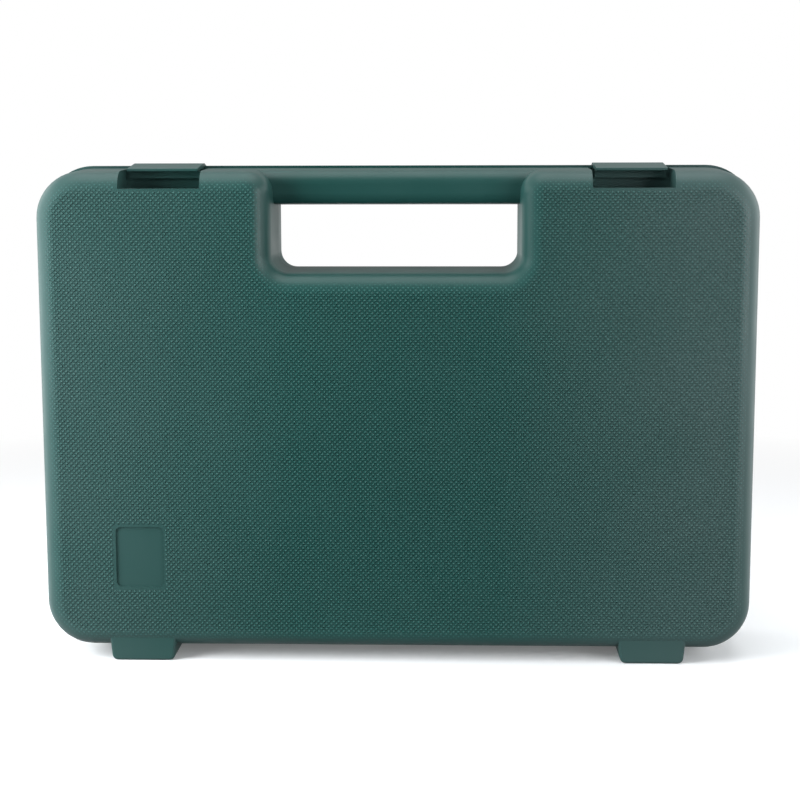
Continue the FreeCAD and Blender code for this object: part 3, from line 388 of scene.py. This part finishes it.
def placed_group(tree, group):
    """Group node in a material, with its place on Object coordinates."""
    place = tree.nodes.new("ShaderNodeTexCoord")
    node = tree.nodes.new("ShaderNodeGroup")
    node.node_tree = group
    tree.links.new(place.outputs["Object"], node.inputs["Place"])
    return node


def noise(tree, vector, scale, detail, roughness=0.5):
    """Noise texture on a vector socket, with scale cells to a metre."""
    node = tree.nodes.new("ShaderNodeTexNoise")
    node.inputs["Scale"].default_value = scale
    node.inputs["Detail"].default_value = detail
    node.inputs["Roughness"].default_value = roughness
    tree.links.new(vector, node.inputs["Vector"])
    return node.outputs["Fac"]


def remap(tree, value, low, high, to_low, to_high):
    """Map Range node from low..high to to_low..to_high, held at its ends."""
    node = tree.nodes.new("ShaderNodeMapRange")
    feed(tree, node.inputs["Value"], value)
    feed(tree, node.inputs["From Min"], low)
    feed(tree, node.inputs["From Max"], high)
    feed(tree, node.inputs["To Min"], to_low)
    feed(tree, node.inputs["To Max"], to_high)
    return node.outputs["Result"]


def maths(tree, operation, first, second):
    """Math node on two sockets or numbers."""
    node = tree.nodes.new("ShaderNodeMath")
    node.operation = operation
    feed(tree, node.inputs[0], first)
    feed(tree, node.inputs[1], second)
    return node.outputs["Value"]


def mix_colours(tree, factor, first, second):
    """Mix node from the first colour to the second; each is a socket or red, green, blue, alpha."""
    node = tree.nodes.new("ShaderNodeMix")
    node.data_type = "RGBA"
    tree.links.new(factor, node.inputs["Factor"])
    feed(tree, node.inputs[MIX_FIRST], first)
    feed(tree, node.inputs[MIX_SECOND], second)
    return node.outputs[MIX_RESULT]


def mix_shaders(tree, factor, first, second):
    """Mix Shader node from the first shader socket to the second."""
    node = tree.nodes.new("ShaderNodeMixShader")
    tree.links.new(factor, node.inputs["Fac"])
    tree.links.new(first, node.inputs[1])
    tree.links.new(second, node.inputs[2])
    return node.outputs["Shader"]


def seen_rays(tree):
    """1 for rays of the camera, of reflections and through glass, else 0."""
    paths = tree.nodes.new("ShaderNodeLightPath")
    glossy, through = paths.outputs["Is Glossy Ray"], paths.outputs["Is Transmission Ray"]
    return maths(tree, "MAXIMUM", paths.outputs["Is Camera Ray"],
                 maths(tree, "MAXIMUM", glossy, through))


def moulded_skin_group():
    """Skin of moulded plastic: slow clouds in the tone, uneven gloss, and a fine eggshell grain."""
    cloud_scale, gloss_scale, eggshell_scale = 14.0, 55.0, 2600.0
    cloud_low, cloud_high = 0.35, 0.68
    gloss_swing = 0.05
    group, ins, outs = node_group("moulded_skin", ("Roughness",), ("Clouds", "Roughness", "Height"))
    place = ins.outputs["Place"]
    clouds = remap(group, noise(group, place, cloud_scale, 3.0), cloud_low, cloud_high, 0.0, 1.0)
    uneven = remap(group, noise(group, place, gloss_scale, 4.0), NOISE_LOW, NOISE_HIGH,
                   -gloss_swing, gloss_swing)
    gloss = maths(group, "ADD", ins.outputs["Roughness"], uneven)
    group.links.new(clouds, outs.inputs["Clouds"])
    group.links.new(gloss, outs.inputs["Roughness"])
    group.links.new(noise(group, place, eggshell_scale, 2.0), outs.inputs["Height"])
    return group


def painted_sheen_ends_group():
    """Mask of a painted sheen towards both ends of the case, stronger to the right, broken up by
    slow clouds.
    """
    inner, outer = 0.040, 0.130
    left_sheen, right_sheen = 0.13, 0.21
    patch_scale, patch_swing = 30.0, 0.15
    group, ins, outs = node_group("rubbed_ends", (), ("Mask",))
    place = ins.outputs["Place"]
    split = group.nodes.new("ShaderNodeSeparateXYZ")
    group.links.new(place, split.inputs["Vector"])
    left = remap(group, split.outputs["X"], -inner, -outer, 0.0, left_sheen)
    right = remap(group, split.outputs["X"], inner, outer, 0.0, right_sheen)
    patches = remap(group, noise(group, place, patch_scale, 3.0), NOISE_LOW, NOISE_HIGH,
                    1 - patch_swing, 1 + patch_swing)
    mask = maths(group, "MULTIPLY", maths(group, "ADD", left, right), patches)
    group.links.new(mask, outs.inputs["Mask"])
    return group


def worked_metal_group():
    """Worked metal: hairlines along one axis in gloss and bump, smears in tone and gloss."""
    hair_along, hair_across = 160.0, 4200.0
    smear_scale, smear_roughness = 90.0, 0.6
    smear_low, smear_high = 0.4, 0.7
    dull_low, dull_least, dull_most = 0.35, -0.04, 0.10
    hair_swing = 0.03
    group, ins, outs = node_group("worked_metal", ("Roughness",), ("Smears", "Roughness", "Height"))
    place = ins.outputs["Place"]
    stretch = group.nodes.new("ShaderNodeMapping")
    stretch.inputs["Scale"].default_value = (hair_along, hair_across, hair_across)
    group.links.new(place, stretch.inputs["Vector"])
    hairs = noise(group, stretch.outputs["Vector"], 1.0, 2.0)
    smears = noise(group, place, smear_scale, 4.0, smear_roughness)
    dulled = remap(group, smears, dull_low, smear_high, dull_least, dull_most)
    brushed = remap(group, hairs, NOISE_LOW, NOISE_HIGH, -hair_swing, hair_swing)
    uneven = maths(group, "ADD", dulled, brushed)
    smeared = remap(group, smears, smear_low, smear_high, 0.0, 1.0)
    group.links.new(smeared, outs.inputs["Smears"])
    group.links.new(maths(group, "ADD", ins.outputs["Roughness"], uneven), outs.inputs["Roughness"])
    group.links.new(hairs, outs.inputs["Height"])
    return group


def surface(name, group, mask, low, high, roughness, bump, depth, metallic=0.0):
    """Material whose colour runs from low to high over a group's mask, with its gloss and bump."""
    material = bpy.data.materials.new(name)
    material.use_nodes = True
    tree = material.node_tree
    shader = tree.nodes["Principled BSDF"]
    effect = placed_group(tree, group)
    effect.inputs["Roughness"].default_value = roughness
    tint = mix_colours(tree, effect.outputs[mask], (*low, 1.0), (*high, 1.0))
    relief = tree.nodes.new("ShaderNodeBump")
    relief.inputs["Strength"].default_value = bump
    relief.inputs["Distance"].default_value = depth
    tree.links.new(effect.outputs["Height"], relief.inputs["Height"])
    tree.links.new(tint, shader.inputs["Base Color"])
    tree.links.new(effect.outputs["Roughness"], shader.inputs["Roughness"])
    tree.links.new(relief.outputs["Normal"], shader.inputs["Normal"])
    shader.inputs["Metallic"].default_value = metallic
    return material


def dress(names, material):
    """Gives CAD nodes a material in all their slots."""
    for name in names:
        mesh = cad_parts[name].data
        mesh.materials.clear()
        mesh.materials.append(material)


def blend_colour(material, factor, tint):
    """Lays a tint over a material's colour by a factor socket."""
    tree = material.node_tree
    target = tree.nodes["Principled BSDF"].inputs["Base Color"]
    plain = target.links[0].from_socket
    tree.links.new(mix_colours(tree, factor, plain, (*tint, 1.0)), target)


def paint_tip_highlights(material, tip_highlight):
    """Paints a highlight: turns a material's colour into the pale colour of the dots' tips where
    the mesh's lift attribute nears 1.
    """
    lift_low, lift_high = 0.25, 0.75
    tree = material.node_tree
    lift = tree.nodes.new("ShaderNodeAttribute")
    lift.attribute_name = "lift"
    highlight_share = remap(tree, lift.outputs["Fac"], lift_low, lift_high, 0.0, 1.0)
    blend_colour(material, highlight_share, tip_highlight)


def paint_sheen_ends(material, group, tint):
    """Pales a material by the mask of the painted sheen towards both ends."""
    sheen_ends = placed_group(material.node_tree, group)
    blend_colour(material, sheen_ends.outputs["Mask"], tint)


class SOCKETSET_OT_case_finish(bpy.types.Operator):
    """Gives the shells and latches their green moulded skin with a painted sheen towards both ends,
    and makes the grain's material with painted shade in its grooves and painted highlights on its
    tips
    """
    bl_idname = "socketset.case_finish"
    bl_label = "Case finish"

    def execute(self, context):
        finish = context.scene.socketset_case_finish
        skin = moulded_skin_group()
        green = surface("case_green_skin", skin, "Clouds", finish.green, finish.pale,
                        finish.roughness, finish.bump, CASE_BUMP_DEPTH)
        # The grain's material: painted shade in the grooves, its clouds a little lighter.
        groove_shade = np.array(finish.groove_shade)
        grain = surface("case_grain_skin", skin, "Clouds", groove_shade, groove_shade * finish.groove_shade_lift,
                        finish.roughness, finish.bump, CASE_BUMP_DEPTH)
        # Painted highlights on the dots' tips.
        paint_tip_highlights(grain, finish.tip_highlight)
        # Painted sheen: both materials are paled towards the ends of the case.
        sheen_ends = painted_sheen_ends_group()
        for material in (green, grain):
            paint_sheen_ends(material, sheen_ends, finish.painted_sheen)
            shader = material.node_tree.nodes["Principled BSDF"]
            shader.inputs["Specular IOR Level"].default_value = finish.shine
        dress(CASE_NODES, green)
        return {"FINISHED"}


class SOCKETSET_OT_case_grain(bpy.types.Operator):
    """Covers both outer faces with rows of low raised dots that fade out on the rounded edges"""
    bl_idname = "socketset.case_grain"
    bl_label = "Case grain"

    def execute(self, context):
        shape = context.scene.socketset_shape
        grain = context.scene.socketset_grain
        self.face_grain(shape, grain, "base", "base_shell", -1, 0.0)
        self.face_grain(shape, grain, "lid", "lid_shell", 1, shape.lid_rise)
        return {"FINISHED"}

    def face_grain(self, shape, grain, body, node, side, rise):
        """Staggered lattice of four-sided pyramids, feet sunk in the skin, tips on its normal.

        On the fillet of radius r, at a distance s from the face's edge, the normal leans outwards
        by (r - s) / r of its length, against the direction in which the distance grows.
        """
        low, high = node_box(node)
        face = max(abs(low[1]), abs(high[1]))
        loop = case_loop(shape, rise)
        spots = self.lattice(grain, high)
        tip_depth, edge = shell_depth(spots, loop, shape, face)
        keep = edge > grain.fade_start
        if side < 0:
            keep &= ~self.near_panel(spots, shape, grain)
            keep &= ~self.near_notch(spots, shape, grain, high[2])
        spots, tip_depth, edge = spots[keep], tip_depth[keep], edge[keep]
        fade = grain.fade_end - grain.fade_start
        growth = np.clip((edge - grain.fade_start) / fade, grain.least_growth, 1.0)
        reach = np.minimum(grain.half_width * np.sqrt(growth), grain.edge_reach * edge)
        arms = np.array(((-1, 0), (0, -1), (1, 0), (0, 1)), dtype=float)
        feet = spots[:, None, :] + arms[None] * reach[:, None, None]
        foot_depth, foot_edge = shell_depth(feet.reshape(-1, 2), loop, shape, face)
        foot_depth, foot_edge = foot_depth.reshape(-1, 4), foot_edge.reshape(-1, 4)
        inward = foot_edge[:, 2:] - foot_edge[:, :2]
        inward /= np.maximum(np.linalg.norm(inward, axis=1, keepdims=True), 1e-9)
        lean = np.clip(1 - edge / shape.face_fillet, 0, 1)
        tip_rise = grain.height * growth
        tips = spots - inward * (lean * tip_rise)[:, None]
        count = len(spots)
        corners = np.empty((count, 5, 3))
        corners[:, :4, 0], corners[:, :4, 2] = feet[..., 0], feet[..., 1]
        corners[:, :4, 1] = side * (face - foot_depth - grain.sink)
        corners[:, 4, 0], corners[:, 4, 2] = tips[:, 0], tips[:, 1]
        corners[:, 4, 1] = side * (face - tip_depth + tip_rise * np.sqrt(1 - lean ** 2))
        sides = np.array(((0, 1, 4), (1, 2, 4), (2, 3, 4), (3, 0, 4), (0, 2, 1), (0, 3, 2)))
        if side > 0:
            sides = sides[:, ::-1]
        faces = (np.arange(count)[:, None, None] * 5 + sides[None]).reshape(-1, 3)
        piece = new_piece(body + "_face_grain", corners.reshape(-1, 3), faces, body,
                          bpy.data.materials["case_grain_skin"])
        # The lift attribute, 0 at the feet and the dot's growth at its top, marks where the
        # material paints its highlight.
        lift = np.zeros((count, 5), dtype=np.float32)
        lift[:, 4] = growth
        attribute = piece.data.attributes.new("lift", "FLOAT", "POINT")
        attribute.data.foreach_set("value", lift.ravel())

    def lattice(self, grain, high):
        """Points (x, z) in rows over the whole face, every second row shifted by half a pitch."""
        reach = math.ceil(high[0] / grain.pitch)
        columns = np.arange(-reach, reach + 1)
        rows = np.arange(0, math.ceil(high[2] / grain.row_step))
        x = columns[None, :] * grain.pitch + (rows[:, None] % 2) * grain.pitch / 2
        z = np.broadcast_to(rows[:, None] * grain.row_step, x.shape)
        return np.stack([x.ravel(), z.ravel()], axis=1)

    def near_panel(self, spots, shape, grain):
        """Spots on the bare panel or its border."""
        half = np.array(shape.panel_size) / 2 + grain.margin
        return (np.abs(spots - np.array(shape.panel_centre)) < half).all(axis=1)

    def near_notch(self, spots, shape, grain, top):
        """Spots in a latch notch or its border."""
        half = shape.notch_width / 2 + grain.margin
        across = np.abs(np.abs(spots[:, 0]) - shape.notch_offset) < half
        return across & (spots[:, 1] > top - shape.notch_height - grain.margin)


class SOCKETSET_OT_tool_finish(bpy.types.Operator):
    """Gives the tools satin chrome, steel, grip and rubber finishes"""
    bl_idname = "socketset.tool_finish"
    bl_label = "Tool finish"

    def execute(self, context):
        finish = context.scene.socketset_tool_finish
        worked_metal_group()
        for name, group, mask, setting, tones, *values, nodes in TOOL_FINISHES:
            tone = np.array(getattr(finish, setting))
            material = surface(name, bpy.data.node_groups[group], mask,
                               tone * tones[0], tone * tones[1], *values)
            dress(nodes, material)
        return {"FINISHED"}


class SOCKETSET_OT_socket_knurls(bpy.types.Operator):
    """Rolls a knurled band round each socket"""
    bl_idname = "socketset.socket_knurls"
    bl_label = "Socket knurls"

    def execute(self, context):
        finish = context.scene.socketset_tool_finish
        for name in SOCKET_NODES:
            self.knurl(name, finish)
        return {"FINISHED"}

    def knurl(self, name, finish):
        """Band of radius R + h times the lesser of two crossed triangle waves, ends below the skin.

        The waves run round the socket with opposite slants, so their lesser value is a field of
        diamonds. The socket's axis is the side of its box that differs from the other two.
        """
        equal_sides = 0.1 * MM
        steps_per_diamond, rows = 4, 13
        low, high = node_box(name)
        size, middle = high - low, (low + high) / 2
        axis = 2
        if size.max() - size.min() > equal_sides:
            axis = int(np.argmax(np.abs(size - np.median(size))))
        radius = size[1] / 2
        around = finish.knurl_count * steps_per_diamond
        angle = full_turn(around)
        share = np.linspace(-0.5, 0.5, rows)
        diamonds_per_radian = finish.knurl_count / (2 * math.pi)
        phase = angle[None, :] * diamonds_per_radian
        climb = share[:, None] * finish.knurl_length * diamonds_per_radian / radius
        waves = [2 * np.abs(((phase + sign * climb) % 1.0) - 0.5) for sign in (1, -1)]
        ring = radius + np.minimum(waves[0], waves[1]) * finish.knurl_height
        ring[0] = ring[-1] = radius - finish.knurl_height
        if axis == 2:
            offset = -size[axis] / 6
        else:
            offset = size[axis] / 2 - finish.knurl_gap
        second = 2 if axis == 0 else 0
        place = np.empty((rows, around, 3))
        place[..., axis] = (middle[axis] + offset + share * finish.knurl_length)[:, None]
        place[..., 1] = middle[1] + ring * np.cos(angle)[None]
        place[..., second] = middle[second] + ring * np.sin(angle)[None]
        faces = band_faces(rows, around)
        if axis == 0:
            faces = faces[:, ::-1]
        new_piece(name + "_knurl", place.reshape(-1, 3), faces, "base",
                  bpy.data.materials["knurled_chrome"])


class SOCKETSET_OT_grip_ribs(bpy.types.Operator):
    """Rings the ratchet's grip with soft ribs"""
    bl_idname = "socketset.grip_ribs"
    bl_label = "Grip ribs"

    def execute(self, context):
        first_share, last_share = 8 / 12, 11 / 12
        finish = context.scene.socketset_tool_finish
        low, high = node_box("ratchet_grip")
        run = high[0] - low[0]
        first, last = low[0] + run * first_share, low[0] + run * last_share
        places = np.linspace(first, last, finish.rib_count)
        self.ribs(finish, (low + high) / 2, (high[1] - low[1]) / 2, places)
        return {"FINISHED"}

    def ribs(self, finish, middle, radius, places):
        """Torus at each place: a ring a little inside the grip's radius, of round section."""
        around, section = 64, 8
        angle, turn = full_turn(around), full_turn(section)
        ring = radius - finish.rib_radius * finish.rib_sink + finish.rib_radius * np.cos(turn)
        count = len(places)
        place = np.empty((count, around, section, 3))
        place[..., 0] = places[:, None, None] + finish.rib_radius * np.sin(turn)[None, None]
        place[..., 1] = middle[1] + np.cos(angle)[None, :, None] * ring[None, None]
        place[..., 2] = middle[2] + np.sin(angle)[None, :, None] * ring[None, None]
        k, i, j = np.indices((count, around, section))
        i2, j2 = (i + 1) % around, (j + 1) % section
        corners = [(k * around + a) * section + b for a, b in ((i, j), (i, j2), (i2, j2), (i2, j))]
        faces = np.stack(corners, axis=-1).reshape(-1, 4)
        new_piece("ratchet_grip_ribs", place.reshape(-1, 3), faces, "base",
                  bpy.data.materials["grip_black_skin"])


class SOCKETSET_OT_stage(bpy.types.Operator):
    """Sets the white studio: floor, soft lights, bright surroundings and the camera"""
    bl_idname = "socketset.stage"
    bl_label = "Stage"

    def execute(self, context):
        stage = context.scene.socketset_stage
        self.floor(context, stage)
        self.surroundings(context, stage)
        self.lights(context, stage)
        self.camera(context, stage)
        context.scene.view_settings.view_transform = "Standard"
        return {"FINISHED"}

    def floor(self, context, stage):
        """Large pale disc under the feet: rings of a circle, widening outwards."""
        rings = np.array((0.0, 0.4, 1.5, 12.0))
        angle = full_turn(96)
        place = np.zeros((len(rings), len(angle), 3))
        place[..., 0] = rings[:, None] * np.cos(angle)[None]
        place[..., 1] = rings[:, None] * np.sin(angle)[None]
        faces = band_faces(len(rings), len(angle))[:, ::-1]
        mesh = bpy.data.meshes.new("studio_floor")
        mesh.from_pydata(place.reshape(-1, 3).tolist(), [], faces.tolist())
        mesh.update()
        floor = bpy.data.objects.new("studio_floor", mesh)
        context.scene.collection.objects.link(floor)
        mesh.materials.append(self.floor_material(stage))
        floor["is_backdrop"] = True

    def floor_material(self, stage):
        """Pale matt floor with a little light of its own, so that it meets the white behind.

        It turns as white as the background with the distance from the case, sends little light back
        up, and fades to black in front of the case for reflections.
        """
        material = bpy.data.materials.new("studio_floor")
        material.use_nodes = True
        tree = material.node_tree
        shader = tree.nodes["Principled BSDF"]
        shader.inputs["Roughness"].default_value = 0.9
        shader.inputs["Specular IOR Level"].default_value = 0.1
        paths = tree.nodes.new("ShaderNodeLightPath")
        tone = mix_colours(tree, paths.outputs["Is Diffuse Ray"],
                           (*stage.floor_tone, 1.0), (*stage.floor_bounce, 1.0))
        tree.links.new(tone, shader.inputs["Base Color"])

        seen = seen_rays(tree)
        glow = tree.nodes.new("ShaderNodeEmission")
        tree.links.new(maths(tree, "MULTIPLY", seen, stage.floor_glow), glow.inputs["Strength"])
        near = tree.nodes.new("ShaderNodeAddShader")
        tree.links.new(shader.outputs["BSDF"], near.inputs[0])
        tree.links.new(glow.outputs["Emission"], near.inputs[1])

        place = tree.nodes.new("ShaderNodeTexCoord")
        reach = tree.nodes.new("ShaderNodeVectorMath")
        reach.operation = "LENGTH"
        tree.links.new(place.outputs["Object"], reach.inputs[0])
        far = remap(tree, reach.outputs["Value"], stage.floor_near, stage.floor_far, 0.0, 1.0)
        white = tree.nodes.new("ShaderNodeEmission")
        pale = mix_shaders(tree, maths(tree, "MULTIPLY", seen, far),
                           near.outputs["Shader"], white.outputs["Emission"])

        split = tree.nodes.new("ShaderNodeSeparateXYZ")
        tree.links.new(place.outputs["Object"], split.inputs["Vector"])
        ahead = remap(tree, split.outputs["Y"], stage.floor_edge, stage.floor_end, 0.0, 1.0)
        dark = tree.nodes.new("ShaderNodeBsdfDiffuse")
        dark.inputs["Color"].default_value = (0.0, 0.0, 0.0, 1.0)
        whole = mix_shaders(tree, maths(tree, "MULTIPLY", paths.outputs["Is Glossy Ray"], ahead),
                            pale, dark.outputs["BSDF"])
        tree.links.new(whole, tree.nodes["Material Output"].inputs["Surface"])
        return material

    def surroundings(self, context, stage):
        """White for the camera, a softer grey as light, and for reflections shaded along y.

        Reflections find the front shade in front of the case, white beside and above it, and the
        back shade straight behind it.
        """
        front_full, front_none = -0.93, -0.35
        back_none, back_full = 0.80, 0.97
        world = bpy.data.worlds.new("studio")
        context.scene.world = world
        world.use_nodes = True
        tree = world.node_tree
        back = tree.nodes["Background"]
        back.inputs["Color"].default_value = (1.0, 1.0, 1.0, 1.0)
        paths = tree.nodes.new("ShaderNodeLightPath")
        toward = tree.nodes.new("ShaderNodeTexCoord")
        split = tree.nodes.new("ShaderNodeSeparateXYZ")
        tree.links.new(toward.outputs["Generated"], split.inputs["Vector"])
        along = split.outputs["Y"]
        sheen = maths(tree, "MULTIPLY",
                      remap(tree, along, front_full, front_none, stage.front_shade, 1.0),
                      remap(tree, along, back_none, back_full, 1.0, stage.back_shade))
        glossy = maths(tree, "MULTIPLY", paths.outputs["Is Glossy Ray"], sheen)
        plain = maths(tree, "MAXIMUM", paths.outputs["Is Camera Ray"],
                      paths.outputs["Is Transmission Ray"])
        lit = remap(tree, seen_rays(tree), 0.0, 1.0, stage.ambient, 0.0)
        strength = maths(tree, "ADD", lit, maths(tree, "MAXIMUM", plain, glossy))
        tree.links.new(strength, back.inputs["Strength"])

    def lights(self, context, stage):
        """Softboxes above, at both sides, beside the case and in front, all aimed at its middle."""
        low, high = (Vector(corner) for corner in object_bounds())
        aim = (low + high) / 2
        for name, place, size, setting, mirrored in SOFTBOXES:
            lamp = bpy.data.lights.new(name, "AREA")
            lamp.size = size
            lamp.energy = getattr(stage, setting)
            lamp.color = stage.light_tint
            holder = bpy.data.objects.new(name, lamp)
            context.scene.collection.objects.link(holder)
            holder.location = place
            holder.rotation_euler = (aim - holder.location).to_track_quat("-Z", "Y").to_euler()
            holder.visible_glossy = mirrored
            holder.visible_camera = False

    def camera(self, context, stage):
        """Camera turned by yaw about the vertical, then pitched down, then rolled."""
        lens = bpy.data.cameras.new("photo_camera")
        lens.sensor_width = 36.0
        lens.lens = lens.sensor_width * stage.focal_pixels / PHOTO_PIXELS
        holder = bpy.data.objects.new("photo_camera", lens)
        context.scene.collection.objects.link(holder)
        level = Matrix.Rotation(math.pi / 2, 3, "X")
        turn = Matrix.Rotation(stage.yaw, 3, "Z") @ level @ Matrix.Rotation(-stage.pitch, 3, "X")
        turn = turn @ Matrix.Rotation(stage.roll, 3, "Z")
        holder.matrix_world = Matrix.Translation(stage.eye) @ turn.to_4x4()
        context.scene.camera = holder


OPERATORS = (SOCKETSET_OT_case_finish, SOCKETSET_OT_case_grain, SOCKETSET_OT_tool_finish,
             SOCKETSET_OT_socket_knurls, SOCKETSET_OT_grip_ribs, SOCKETSET_OT_stage)


class SOCKETSET_PT_panel(bpy.types.Panel):
    """Lists the steps that dress the socket set"""
    bl_idname = "SOCKETSET_PT_panel"
    bl_label = "Socket Set"
    bl_space_type = "VIEW_3D"
    bl_region_type = "UI"
    bl_category = "Socket Set"

    def draw(self, context):
        for step in OPERATORS:
            self.layout.operator(step.bl_idname)


SETTINGS = (("socketset_shape", CaseShapeSettings), ("socketset_grain", CaseGrainSettings),
            ("socketset_case_finish", CaseFinishSettings),
            ("socketset_tool_finish", ToolFinishSettings), ("socketset_stage", StageSettings))


def register():
    for name, group in SETTINGS:
        bpy.utils.register_class(group)
        setattr(bpy.types.Scene, name, PointerProperty(type=group))
    for step in OPERATORS:
        bpy.utils.register_class(step)
    bpy.utils.register_class(SOCKETSET_PT_panel)


def unregister():
    bpy.utils.unregister_class(SOCKETSET_PT_panel)
    for step in reversed(OPERATORS):
        bpy.utils.unregister_class(step)
    for name, group in reversed(SETTINGS):
        delattr(bpy.types.Scene, name)
        bpy.utils.unregister_class(group)


def main():
    register()
    bpy.ops.socketset.case_finish()
    bpy.ops.socketset.case_grain()
    bpy.ops.socketset.tool_finish()
    bpy.ops.socketset.socket_knurls()
    bpy.ops.socketset.grip_ribs()
    bpy.ops.socketset.stage()


if __name__ == "__main__":
    main()
